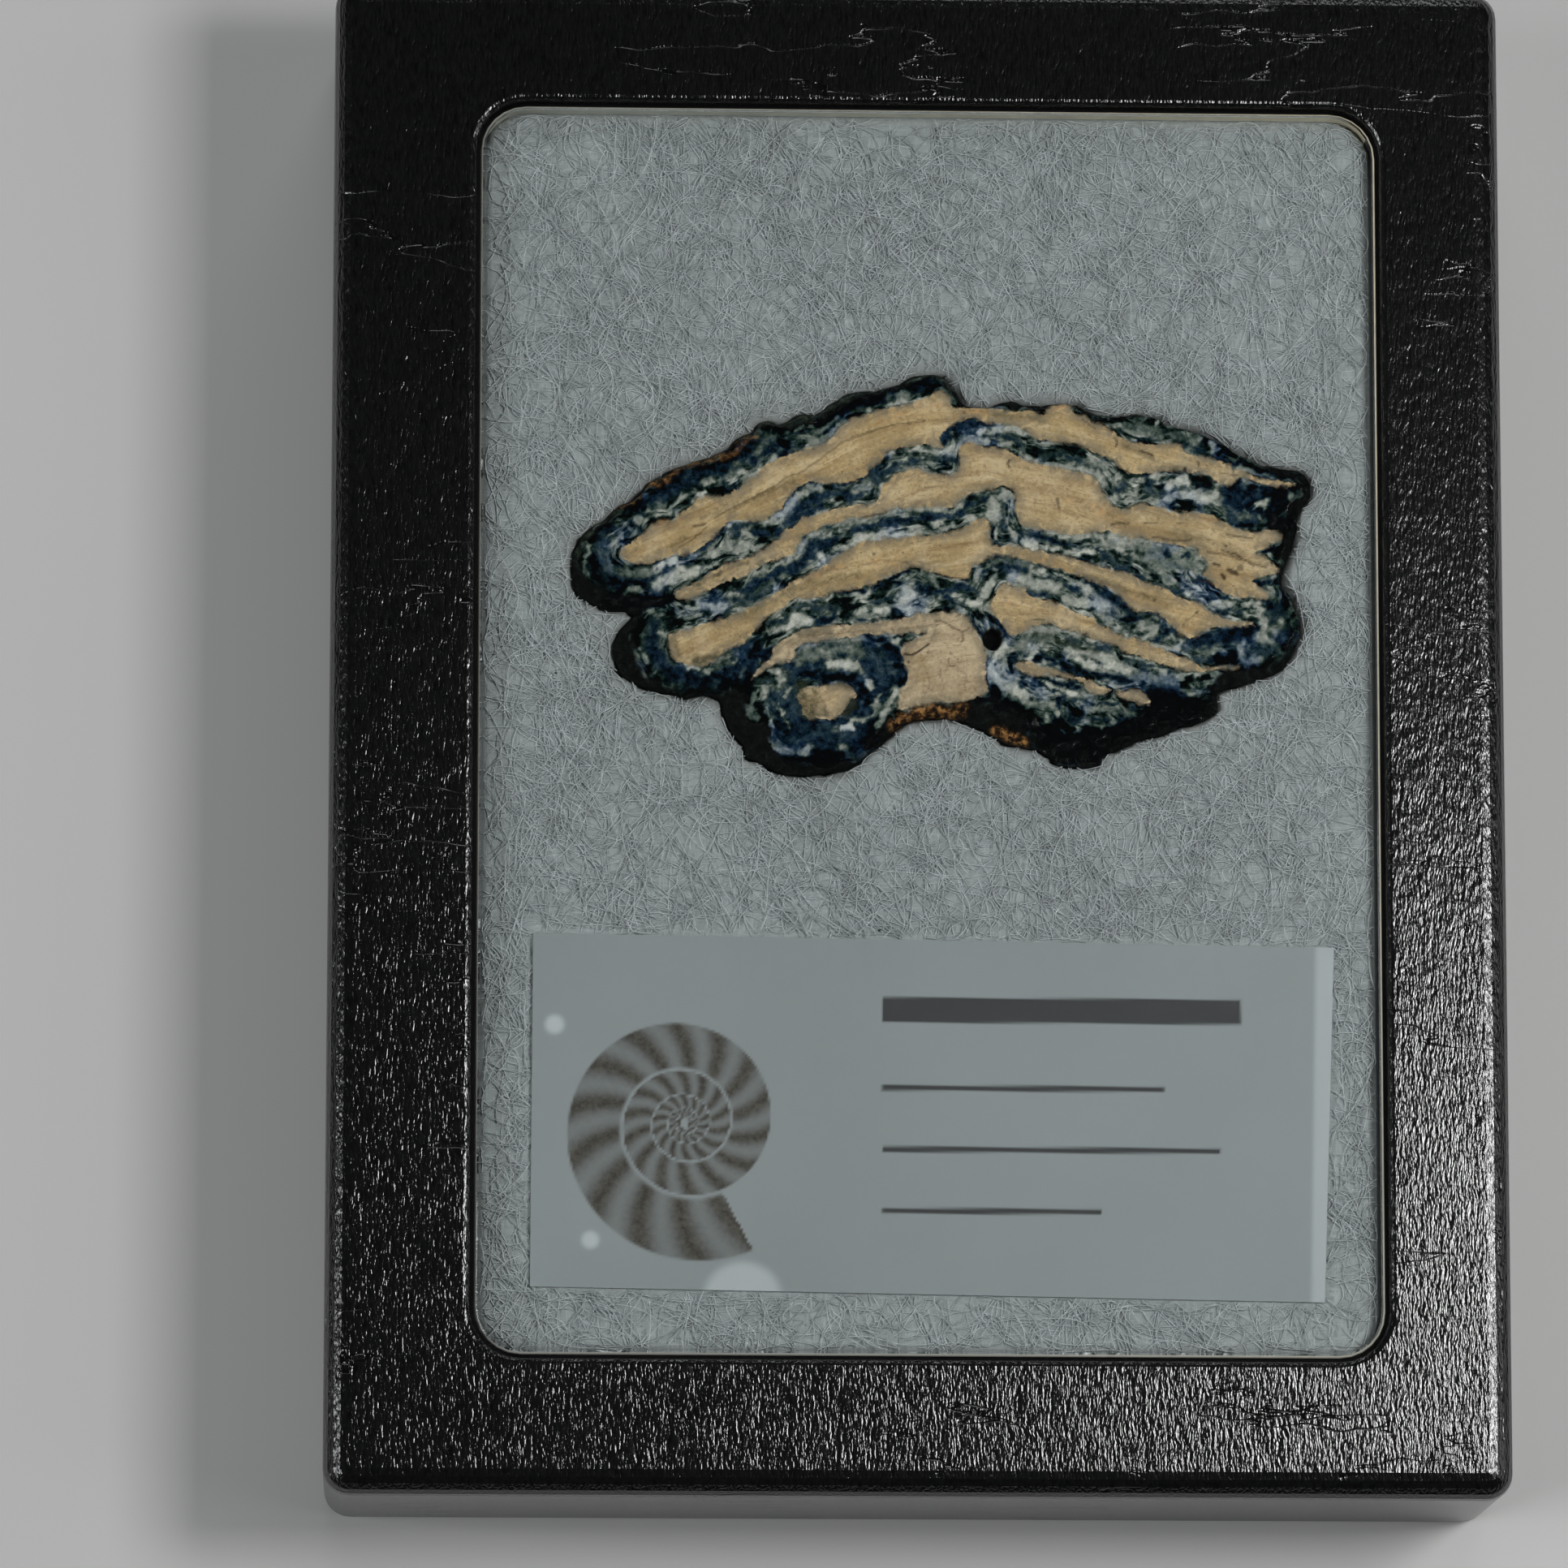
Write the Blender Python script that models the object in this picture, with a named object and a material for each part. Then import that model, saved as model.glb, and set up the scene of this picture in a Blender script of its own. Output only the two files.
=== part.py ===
"""A polished cross-section of a fossil mammoth molar in its black display case.

The case is a shallow tray and a lid that lifts off it. The lid has a round-cornered window with a
clear formed pane. Under the pane, a pad of white fibre fill presses up a slice of the tooth and a
small paper card. The case lies on its back: +X is to the right of the card, +Y runs from the card
to the far edge, +Z is up through the window, and the origin is at the middle of the underside.
"""
import math

import bpy
import bmesh
from mathutils import Vector
from mathutils.geometry import delaunay_2d_cdt

MM = 0.001
CLEARANCE = 0.3 * MM

# Case
CASE_WIDTH = 84.2 * MM
CASE_LENGTH = 109.6 * MM
CASE_HEIGHT = 19.05 * MM
CORNER_RADIUS = 1.9 * MM
EDGE_RADIUS = 1.8 * MM
BOARD = 1.2 * MM
LID_PLATE = 1.4 * MM
SKIRT_BOTTOM = 0.8 * MM
SKIRT_LIP = 0.3 * MM

# Window: the opening's middle is a little off the middle of the lid
WINDOW_WIDTH = 64.6 * MM
WINDOW_LENGTH = 90.4 * MM
WINDOW_RADIUS = 3.3 * MM
WINDOW_CENTRE = (0.76 * MM, 0.36 * MM)
WINDOW_LIP = 0.45 * MM
PANE_TOP = 18.5 * MM
PANE_THICKNESS = 1.0 * MM
PANE_BEVEL = 0.3 * MM
PANE_FLANGE_BOTTOM = 16.3 * MM

# Fibre pad
PAD_BOTTOM = BOARD + CLEARANCE
PAD_SHOULDER = 15.9 * MM
PAD_TOP = 17.1 * MM
PAD_SOFTNESS = 0.9 * MM
PAD_CREST_INSET = 1.3 * MM

# Tooth slice: rough sides spread out below the polished face
SLICE_FACE = 17.2 * MM
SLICE_SHOULDER = 14.4 * MM
SLICE_BOTTOM = 12.0 * MM
SLICE_TAPER = 0.985
SLICE_CENTRE = (1.7 * MM, 11.7 * MM)
PIT_FLOOR = 16.2 * MM
PIT_SLOPE = 0.7
SOCKET_MARGIN = 0.7 * MM
SOCKET_STEPS = 72

# Paper card, cut by hand and a little out of square: left, right, near and far corners
CARD_THICKNESS = 0.25 * MM
CARD_FAR_LEFT = (-27.46, -14.65)
CARD_FAR_RIGHT = (29.70, -15.30)
CARD_NEAR_RIGHT = (28.84, -40.77)
CARD_NEAR_LEFT = (-27.56, -39.93)
CARD_BED_MARGIN = 0.6 * MM

# The slice's widest outline, clockwise from its left tip, in millimetres from the case's middle
SLICE_OUTLINE = [
    (-24.8, 12.0), (-24.7, 13.0), (-24.3, 13.9), (-23.5, 14.8), (-22.6, 15.4), (-22.0, 15.9),
    (-21.3, 16.5), (-20.4, 17.0), (-19.8, 17.6), (-19.3, 18.2), (-18.4, 18.7), (-17.7, 19.2),
    (-16.9, 19.5), (-16.0, 19.8), (-15.2, 20.0), (-14.3, 20.4), (-13.6, 20.8), (-13.0, 21.4),
    (-12.3, 21.9), (-11.8, 21.9), (-11.5, 22.5), (-10.9, 22.9), (-10.1, 22.6), (-9.3, 22.8),
    (-8.6, 23.3), (-7.9, 23.4), (-7.2, 23.3), (-6.6, 23.7), (-5.8, 24.3), (-5.0, 24.8),
    (-3.9, 25.1), (-2.9, 25.1), (-2.0, 25.4), (-1.2, 25.6), (-0.6, 26.0), (0.2, 26.3),
    (1.2, 26.4), (2.0, 26.1), (2.4, 25.4), (2.8, 25.0), (3.1, 24.4), (3.8, 24.0), (5.2, 24.0),
    (6.0, 24.3), (6.8, 24.45), (7.7, 24.2), (8.6, 24.1), (9.6, 24.25), (10.9, 24.35),
    (11.7, 24.15), (12.2, 23.8), (12.8, 23.5), (14.0, 23.4), (15.0, 23.4), (15.8, 23.6),
    (16.5, 23.4), (17.3, 23.3), (17.8, 22.9), (18.8, 22.6), (19.8, 22.45), (20.5, 22.05),
    (21.3, 21.75), (22.1, 21.4), (22.7, 20.9), (23.5, 20.5), (24.3, 20.2), (25.0, 19.9),
    (25.9, 19.75), (26.8, 19.6), (27.5, 19.55), (28.1, 19.0), (28.4, 18.2), (28.3, 17.4),
    (27.7, 16.9), (27.4, 16.2), (27.3, 15.2), (27.1, 14.3), (26.8, 13.5), (26.5, 12.7),
    (26.2, 11.8), (26.25, 10.9), (26.8, 10.4), (27.0, 9.7), (27.4, 8.9), (27.6, 8.1),
    (27.4, 7.1), (26.9, 6.0), (26.3, 5.1), (25.4, 4.6), (24.4, 4.2), (23.3, 3.8), (22.3, 3.55),
    (21.6, 3.3), (21.4, 2.7), (21.55, 2.0), (20.9, 1.4), (20.0, 1.0), (19.0, 0.8), (18.3, 0.5),
    (17.6, 0.1), (16.6, 0.0), (15.8, -0.25), (15.0, -0.7), (14.0, -1.1), (13.3, -1.5),
    (13.0, -2.1), (12.1, -2.25), (11.0, -2.2), (10.0, -2.0), (9.3, -1.4), (8.4, -0.95),
    (7.3, -0.8), (6.2, -0.5), (5.2, 0.1), (4.2, 0.6), (3.2, 1.05), (2.0, 1.2), (0.7, 1.2),
    (-0.5, 0.95), (-1.4, 0.5), (-2.2, -0.2), (-2.8, -0.85), (-3.4, -1.2), (-4.0, -1.85),
    (-4.8, -2.4), (-5.8, -2.7), (-7.0, -2.9), (-8.4, -3.0), (-9.6, -2.85), (-10.6, -2.55),
    (-11.4, -2.0), (-12.3, -1.7), (-12.5, -0.8), (-13.1, -0.2), (-13.5, 0.4), (-13.8, 1.3),
    (-14.0, 2.1), (-14.5, 2.7), (-15.5, 2.8), (-16.7, 2.6), (-17.6, 2.85), (-18.7, 3.05),
    (-19.7, 3.3), (-20.5, 3.8), (-21.3, 4.3), (-21.7, 5.2), (-21.8, 6.2), (-21.5, 7.1),
    (-20.9, 7.9), (-20.35, 8.5), (-21.0, 8.85), (-22.2, 8.95), (-23.2, 9.35), (-24.2, 9.9),
    (-24.6, 10.6),
]

# The polished face's edge, clockwise from the left tip, in the same millimetres
FACE_OUTLINE = [
    (-24.05, 12.1), (-24.0, 13.2), (-23.4, 14.2), (-22.4, 15.1), (-21.7, 15.5), (-21.1, 16.2),
    (-20.2, 16.8), (-19.5, 17.5), (-18.5, 18.1), (-17.7, 18.8), (-16.8, 19.2), (-15.2, 19.6),
    (-14.1, 20.0), (-13.4, 20.4), (-12.7, 21.1), (-12.0, 21.4), (-11.3, 22.2), (-10.5, 22.4),
    (-9.4, 22.1), (-8.0, 22.2), (-7.1, 22.4), (-5.9, 23.4), (-4.8, 24.2), (-3.3, 24.6),
    (-1.5, 25.1), (-0.4, 25.6), (0.6, 25.95), (1.5, 25.8), (2.0, 25.2), (2.6, 24.3),
    (3.4, 23.85), (5.2, 23.8), (7.0, 23.75), (8.9, 23.7), (9.7, 24.0), (10.8, 24.15),
    (11.5, 23.7), (12.2, 23.35), (14.0, 23.2), (15.8, 23.3), (17.2, 23.1), (17.8, 22.7),
    (19.6, 22.3), (21.2, 21.6), (22.0, 21.2), (22.9, 20.7), (24.0, 20.1), (25.0, 19.5),
    (26.3, 19.0), (27.2, 18.6), (27.5, 17.9), (27.1, 17.0), (26.3, 16.2), (25.4, 15.8),
    (25.5, 15.2), (26.2, 14.9), (26.4, 14.2), (26.3, 13.4), (26.0, 12.5), (25.9, 11.6),
    (26.0, 10.9), (26.5, 10.1), (26.9, 9.2), (27.2, 8.2), (26.9, 7.1), (26.2, 6.0), (24.9, 5.4),
    (23.0, 5.0), (21.8, 4.9), (21.2, 4.2), (20.9, 3.2), (19.8, 2.6), (18.0, 2.3), (16.7, 1.8),
    (15.6, 1.0), (14.0, 0.3), (12.0, -0.2), (10.4, -0.3), (9.3, 0.2), (8.3, 1.2), (7.4, 2.0),
    (6.2, 2.6), (5.3, 2.95), (4.3, 2.6), (3.0, 2.35), (1.2, 2.25), (-0.3, 1.9), (-1.6, 1.3),
    (-2.5, 0.6), (-3.2, -0.4), (-4.0, -1.3), (-5.2, -1.95), (-6.8, -2.15), (-8.4, -2.0),
    (-9.7, -1.6), (-10.3, -1.1), (-10.5, 0.2), (-11.1, 0.8), (-11.8, 0.9), (-12.2, 1.8),
    (-12.3, 2.9), (-13.2, 3.2), (-14.6, 3.1), (-15.7, 3.2), (-17.1, 3.05), (-18.3, 3.7),
    (-19.5, 4.5), (-20.2, 5.7), (-20.35, 7.0), (-20.0, 8.1), (-19.2, 8.9), (-18.2, 9.3),
    (-17.5, 9.8), (-18.6, 10.05), (-20.2, 10.0), (-21.8, 10.1), (-22.7, 10.8), (-23.7, 11.2),
]

# A small hole worn through the middle of the polished face
PIT_OUTLINE = [
    (5.0, 7.7), (4.7, 7.2), (4.75, 6.6), (5.1, 6.2), (5.6, 6.1), (6.0, 6.5), (6.1, 7.1),
    (5.8, 7.6), (5.4, 7.85),
]


def remove_everything():
    for old in list(bpy.data.objects):
        bpy.data.objects.remove(old, do_unlink=True)


def material(name, colour, roughness, metallic=0.0, transmission=0.0):
    made = bpy.data.materials.new(name)
    made.use_nodes = True
    made.diffuse_color = (*colour, 1.0)
    shader = made.node_tree.nodes["Principled BSDF"]
    shader.inputs["Base Color"].default_value = (*colour, 1.0)
    shader.inputs["Roughness"].default_value = roughness
    shader.inputs["Metallic"].default_value = metallic
    shader.inputs["Transmission Weight"].default_value = transmission
    return made


def place(name, shape, finish):
    """Turn a finished bmesh into a named object with one material."""
    bmesh.ops.recalc_face_normals(shape, faces=shape.faces)
    mesh = bpy.data.meshes.new(name)
    shape.to_mesh(mesh)
    shape.free()
    mesh.materials.append(finish)
    thing = bpy.data.objects.new(name, mesh)
    bpy.context.scene.collection.objects.link(thing)
    mesh.shade_smooth()
    mesh.set_sharp_from_angle(angle=math.radians(28))
    return thing


def rounded_rectangle(width, length, radius, centre=(0.0, 0.0), steps=6):
    """Points of a rectangle with round corners, counter-clockwise, always the same count."""
    radius = max(radius, 0.05 * MM)
    points = []
    for quarter in range(4):
        along_x = 1 if quarter in (0, 3) else -1
        along_y = 1 if quarter in (0, 1) else -1
        middle = Vector((centre[0] + along_x * (width / 2 - radius),
                         centre[1] + along_y * (length / 2 - radius)))
        for step in range(steps + 1):
            angle = math.radians(90) * (quarter + step / steps)
            points.append(middle + radius * Vector((math.cos(angle), math.sin(angle))))
    return points


def add_ring(shape, points, height):
    return [shape.verts.new((x, y, height)) for x, y in points]


def join_rings(shape, lower, upper):
    for here in range(len(lower)):
        there = (here + 1) % len(lower)
        shape.faces.new((lower[here], lower[there], upper[there], upper[here]))


def capped_stack(rings):
    """A closed shape through rings of equal count, closed by a flat face at each end."""
    shape = bmesh.new()
    loops = [add_ring(shape, points, height) for points, height in rings]
    for lower, upper in zip(loops, loops[1:]):
        join_rings(shape, lower, upper)
    shape.faces.new(loops[0])
    shape.faces.new(loops[-1])
    return shape


def closed_frame(rings):
    """A closed frame through rings of equal count, whose last ring meets the first."""
    shape = bmesh.new()
    loops = [add_ring(shape, points, height) for points, height in rings]
    for lower, upper in zip(loops, loops[1:] + loops[:1]):
        join_rings(shape, lower, upper)
    return shape


def round_over(width, length, radius, edge, top, centre=(0.0, 0.0), steps=5, inward=1):
    """Rings that round an edge over, from the wall up to the flat top."""
    rings = []
    for step in range(steps + 1):
        angle = math.radians(90) * step / steps
        shift = inward * edge * (1 - math.cos(angle))
        outline = rounded_rectangle(width - 2 * shift, length - 2 * shift, radius - shift, centre)
        rings.append((outline, top - edge + edge * math.sin(angle)))
    return rings


def make_base_tray(finish):
    width = CASE_WIDTH - 2 * (BOARD + CLEARANCE)
    length = CASE_LENGTH - 2 * (BOARD + CLEARANCE)
    rim = PANE_FLANGE_BOTTOM - CLEARANCE
    foot = 0.4 * MM
    corner = CORNER_RADIUS - BOARD + 0.6 * MM
    rings = [
        (rounded_rectangle(width - 2 * foot, length - 2 * foot, corner - foot), 0.0),
        (rounded_rectangle(width, length, corner), foot),
        (rounded_rectangle(width, length, corner), rim),
        (rounded_rectangle(width - 2 * BOARD, length - 2 * BOARD, corner - BOARD), rim),
        (rounded_rectangle(width - 2 * BOARD, length - 2 * BOARD, corner - BOARD), BOARD),
    ]
    return place("base_tray", capped_stack(rings), finish)


def make_lid(finish):
    inner_width = CASE_WIDTH - 2 * BOARD
    inner_length = CASE_LENGTH - 2 * BOARD
    inner_corner = CORNER_RADIUS - BOARD
    opening_width = WINDOW_WIDTH + 2 * CLEARANCE
    opening_length = WINDOW_LENGTH + 2 * CLEARANCE
    opening_radius = WINDOW_RADIUS + CLEARANCE
    plate_bottom = CASE_HEIGHT - LID_PLATE
    lip = round_over(opening_width, opening_length, opening_radius, WINDOW_LIP, CASE_HEIGHT,
                     WINDOW_CENTRE, steps=4, inward=-1)
    rings = [
        (rounded_rectangle(inner_width, inner_length, inner_corner), SKIRT_BOTTOM),
        (rounded_rectangle(CASE_WIDTH - 2 * SKIRT_LIP, CASE_LENGTH - 2 * SKIRT_LIP,
                           CORNER_RADIUS - SKIRT_LIP), SKIRT_BOTTOM),
        (rounded_rectangle(CASE_WIDTH, CASE_LENGTH, CORNER_RADIUS), SKIRT_BOTTOM + SKIRT_LIP),
    ]
    rings += round_over(CASE_WIDTH, CASE_LENGTH, CORNER_RADIUS, EDGE_RADIUS, CASE_HEIGHT)
    rings += list(reversed(lip))
    rings += [
        (rounded_rectangle(opening_width, opening_length, opening_radius, WINDOW_CENTRE),
         plate_bottom),
        (rounded_rectangle(inner_width, inner_length, inner_corner), plate_bottom),
    ]
    return place("lid", closed_frame(rings), finish)


def make_window(finish):
    flange_width = CASE_WIDTH - 2 * BOARD - 4 * CLEARANCE
    flange_length = CASE_LENGTH - 2 * BOARD - 4 * CLEARANCE
    flange_top = CASE_HEIGHT - LID_PLATE - CLEARANCE
    under_width = WINDOW_WIDTH - 2 * PANE_THICKNESS
    under_length = WINDOW_LENGTH - 2 * PANE_THICKNESS
    under_radius = WINDOW_RADIUS - PANE_THICKNESS
    under = rounded_rectangle(under_width, under_length, under_radius, WINDOW_CENTRE)
    edge = round_over(WINDOW_WIDTH, WINDOW_LENGTH, WINDOW_RADIUS, PANE_BEVEL, PANE_TOP,
                      WINDOW_CENTRE, steps=3)
    rings = [
        (under, PANE_TOP - PANE_THICKNESS),
        (under, PANE_FLANGE_BOTTOM),
        (rounded_rectangle(flange_width, flange_length, CLEARANCE), PANE_FLANGE_BOTTOM),
        (rounded_rectangle(flange_width, flange_length, CLEARANCE), flange_top),
        (rounded_rectangle(WINDOW_WIDTH, WINDOW_LENGTH, WINDOW_RADIUS, WINDOW_CENTRE), flange_top),
    ]
    return place("window", capped_stack(rings + edge), finish)


def socket_outline():
    """The pad's hollow for the slice: the farthest reach of the slice all round, and a margin."""
    centre = Vector(SLICE_CENTRE)
    spokes = [Vector(point) * MM - centre for point in SLICE_OUTLINE]
    points = []
    for step in range(SOCKET_STEPS):
        angle = 2 * math.pi * step / SOCKET_STEPS
        ray = Vector((math.cos(angle), math.sin(angle)))
        near = [spoke for spoke in spokes if ray.angle(spoke) < math.radians(6)]
        reach = max(spoke.length for spoke in near) + SOCKET_MARGIN
        points.append(centre + reach * ray)
    return points


def cutter(name, outline, bottom, top):
    shape = capped_stack([(outline, bottom), (outline, top)])
    bmesh.ops.recalc_face_normals(shape, faces=shape.faces)
    mesh = bpy.data.meshes.new(name)
    shape.to_mesh(mesh)
    shape.free()
    thing = bpy.data.objects.new(name, mesh)
    bpy.context.scene.collection.objects.link(thing)
    thing.hide_render = True
    thing.display_type = "WIRE"
    return thing


def card_corners(margin=0.0):
    corners = [Vector(corner) * MM for corner in
               (CARD_NEAR_LEFT, CARD_NEAR_RIGHT, CARD_FAR_RIGHT, CARD_FAR_LEFT)]
    middle = sum(corners, Vector((0.0, 0.0))) / len(corners)
    grown = []
    for corner in corners:
        away = corner - middle
        grown.append(corner + margin * Vector((math.copysign(1, away.x), math.copysign(1, away.y))))
    return grown


def make_fibre_pad(finish):
    width = CASE_WIDTH - 2 * (2 * BOARD + 2 * CLEARANCE)
    length = CASE_LENGTH - 2 * (2 * BOARD + 2 * CLEARANCE)
    soft = PAD_SOFTNESS
    crest_width = WINDOW_WIDTH - 2 * (PANE_THICKNESS + CLEARANCE)
    crest_length = WINDOW_LENGTH - 2 * (PANE_THICKNESS + CLEARANCE)
    crest_radius = WINDOW_RADIUS - PANE_THICKNESS
    crest = rounded_rectangle(crest_width, crest_length, crest_radius, WINDOW_CENTRE)
    summit = rounded_rectangle(crest_width - PAD_CREST_INSET, crest_length - PAD_CREST_INSET,
                               crest_radius, WINDOW_CENTRE)
    rings = [
        (rounded_rectangle(width - 2 * soft, length - 2 * soft, soft), PAD_BOTTOM),
        (rounded_rectangle(width, length, 2 * soft), PAD_BOTTOM + soft),
        (rounded_rectangle(width, length, 2 * soft), PAD_SHOULDER - soft),
        (rounded_rectangle(width - soft, length - soft, soft), PAD_SHOULDER),
        (crest, PAD_SHOULDER),
        (crest, PAD_TOP - 0.3 * soft),
        (summit, PAD_TOP),
    ]
    pad = place("fibre_pad", capped_stack(rings), finish)
    above = CASE_HEIGHT
    hollows = [
        cutter("slice_socket", socket_outline(), SLICE_BOTTOM - CLEARANCE, above),
        cutter("card_bed", card_corners(CARD_BED_MARGIN),
               SLICE_FACE - CARD_THICKNESS - CLEARANCE, above),
    ]
    for hollow in hollows:
        cut = pad.modifiers.new(hollow.name, "BOOLEAN")
        cut.operation = "DIFFERENCE"
        cut.solver = "EXACT"
        cut.object = hollow
    return pad


def make_card(finish):
    corners = card_corners()
    bottom = SLICE_FACE - CARD_THICKNESS
    return place("label_card", capped_stack([(corners, bottom), (corners, SLICE_FACE)]), finish)


def make_slice(finish):
    """Triangulate the face with its edge and its pit, then drop each outline to its own height."""
    pit = [Vector(point) * MM for point in PIT_OUTLINE]
    pit_middle = sum(pit, Vector((0.0, 0.0))) / len(pit)
    pit_floor = [pit_middle + PIT_SLOPE * (point - pit_middle) for point in pit]
    outlines = [
        [Vector(point) * MM for point in SLICE_OUTLINE],
        [Vector(point) * MM for point in FACE_OUTLINE],
        pit,
        pit_floor,
    ]
    heights = [SLICE_SHOULDER, SLICE_FACE, SLICE_FACE, PIT_FLOOR]
    points = []
    levels = []
    edges = []
    for outline, height in zip(outlines, heights):
        first = len(points)
        count = len(outline)
        points += outline
        levels += [height] * count
        edges += [(first + here, first + (here + 1) % count) for here in range(count)]
    # Measured in millimetres here, because the triangulation's own tolerance suits such numbers
    flat, _, triangles, origins, _, _ = delaunay_2d_cdt([point / MM for point in points],
                                                        edges, [], 1, 1e-6)
    rim_count = len(outlines[0])
    shape = bmesh.new()
    top = [shape.verts.new((x * MM, y * MM, levels[source[0]]))
           for (x, y), source in zip(flat, origins)]
    middle = Vector(SLICE_CENTRE)
    foot = [middle + SLICE_TAPER * (point - middle) for point in outlines[0]]
    rim = [index for index, source in enumerate(origins) if source[0] < rim_count]
    rim.sort(key=lambda index: origins[index][0])
    for triangle in triangles:
        shape.faces.new([top[index] for index in triangle])
    bottom = add_ring(shape, foot, SLICE_BOTTOM)
    join_rings(shape, [top[index] for index in rim], bottom)
    shape.faces.new(bottom)
    bmesh.ops.triangulate(shape, faces=[face for face in shape.faces if len(face.verts) > 4])
    return place("molar_slice", shape, finish)


def build():
    remove_everything()
    leatherette = material("black_leatherette", (0.012, 0.012, 0.013), 0.42)
    tray_board = material("black_board", (0.015, 0.015, 0.016), 0.6)
    clear = material("clear_pane", (0.95, 0.96, 0.96), 0.05, transmission=1.0)
    fibre = material("white_fibre", (0.62, 0.64, 0.64), 0.95)
    paper = material("card_paper", (0.66, 0.69, 0.70), 0.8)
    tooth = material("polished_tooth", (0.44, 0.35, 0.21), 0.25)
    make_base_tray(tray_board)
    make_lid(leatherette)
    make_window(clear)
    make_fibre_pad(fibre)
    make_card(paper)
    make_slice(tooth)


build()
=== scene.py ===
"""Looks of a polished mammoth molar slice in its black display case.

The lid and the base tray keep their solids and get their finishes here. The pane is a copy of its
solid with thinner walls. The tooth slice, the card and the fibre pad are modelled finely, and the
loose fibres under the pane are real strands. Lengths are in millimetres, except the camera's and the
lights', and are turned into metres where a mesh is made. Outlines and strokes are drawn as x, y, x, y
and so on.
"""
import math

import bpy
import bmesh
import numpy as np
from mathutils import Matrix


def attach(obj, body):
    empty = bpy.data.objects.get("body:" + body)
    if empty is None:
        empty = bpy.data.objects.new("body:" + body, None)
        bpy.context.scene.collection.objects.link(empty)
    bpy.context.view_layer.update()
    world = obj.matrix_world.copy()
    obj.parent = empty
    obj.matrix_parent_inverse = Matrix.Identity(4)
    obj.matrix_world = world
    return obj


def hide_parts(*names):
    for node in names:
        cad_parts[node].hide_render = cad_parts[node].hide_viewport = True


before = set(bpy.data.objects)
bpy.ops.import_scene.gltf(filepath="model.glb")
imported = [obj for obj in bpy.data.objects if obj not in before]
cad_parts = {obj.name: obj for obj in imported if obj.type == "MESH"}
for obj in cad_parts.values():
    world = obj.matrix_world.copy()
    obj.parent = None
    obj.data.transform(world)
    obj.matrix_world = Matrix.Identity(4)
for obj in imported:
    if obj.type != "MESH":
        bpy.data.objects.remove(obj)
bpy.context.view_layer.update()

MM = 0.001

# Camera, fitted to the case's corners
CAMERA_PLACE = (-0.03718, -0.11922, 0.69721)
CAMERA_TURN = (0.1681, -0.0407, 0.0009)
CAMERA_LENS = 221.75
CAMERA_SENSOR = 36.0

# Heights inside the case, in millimetres
PANE_UNDERSIDE = 17.5
SLICE_FACE = 17.2
SLICE_SHOULDER = 16.4
SLICE_BOTTOM = 12.0
SLICE_LEVELS = (15.4, 14.4, 13.2, SLICE_BOTTOM)
SLICE_TAPER = 0.985
SLICE_CENTRE = (1.7, 11.7)
PIT_DEPTH = 1.3
CARD_TOP = 17.2
CARD_THICKNESS = 0.25
PAD_CREST = 16.86
PAD_SHOULDER = 15.85
PAD_SINK = 0.75
PAD_FOOT = 1.5
PAD_LEVELS = (14.0, 9.0, 4.0, PAD_FOOT)
SOCKET_FLOOR = 11.65
SPECK_HEIGHT = 17.28
SPECK_RADIUS = 0.11

# The pane's hollow that the fibre fills, and the card's corners, in millimetres
WINDOW_CENTRE = (0.76, 0.36)
WINDOW_WIDTH = 64.6
WINDOW_LENGTH = 90.4
WINDOW_RADIUS = 3.3
SOLID_HOLLOW_WIDTH = 62.6
SOLID_HOLLOW_LENGTH = 88.4
SOLID_HOLLOW_RADIUS = 2.3
HOLLOW_WIDTH = 64.3
HOLLOW_LENGTH = 90.1
HOLLOW_RADIUS = 3.15
PAD_WIDTH = 78.0
PAD_LENGTH = 103.4
PAD_GRID = (195, 258)
CARD_GRID = (340, 152)
CARD_FAR_LEFT = (-27.46, -14.65)
CARD_FAR_RIGHT = (29.70, -15.30)
CARD_NEAR_RIGHT = (28.84, -40.77)
CARD_NEAR_LEFT = (-27.56, -39.93)

# The sheet on which the tooth's face is measured: its corners, the width of its squares, and how far
# drawn lines wander on it
SHEET_LOW = (-25.3, -3.5)
SHEET_HIGH = (28.9, 26.9)
SHEET_STEP = 0.115
SHEET_WANDER = 0.17

# The card's print: the shell ornament, ruled lines as (y, right end, half thickness), and pale spots as
# (x, y, radius, strength)
SHELL_CENTRE = (-16.6, -28.2)
SHELL_RADIUS = 10.4
RULES_LEFT = -2.6
PALE_SPOTS = [(-25.9, -21.2, 0.6, 0.75), (-23.3, -36.6, 0.55, 0.7)]
RULES = [(-20.0, 23.0, 0.9), (-25.6, 17.5, 0.2), (-30.0, 21.5, 0.2), (-34.4, 13.0, 0.2)]

# Loose fibres, from the lowest layer to the highest, as (name, seed, finish, radius, lift)
STRAND_COUNT = 1900
STRAND_STEPS = 14
STRAND_LAYERS = [
    ("loose_fibres_deep", 101, "plain_fibre", 0.040, 0.22),
    ("loose_fibres_low", 102, "plain_fibre", 0.035, 0.38),
    ("loose_fibres_mid", 103, "plain_fibre", 0.032, 0.5),
    ("loose_fibres_top", 104, "fibre_painted_lit", 0.024, 0.6),
]

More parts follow.
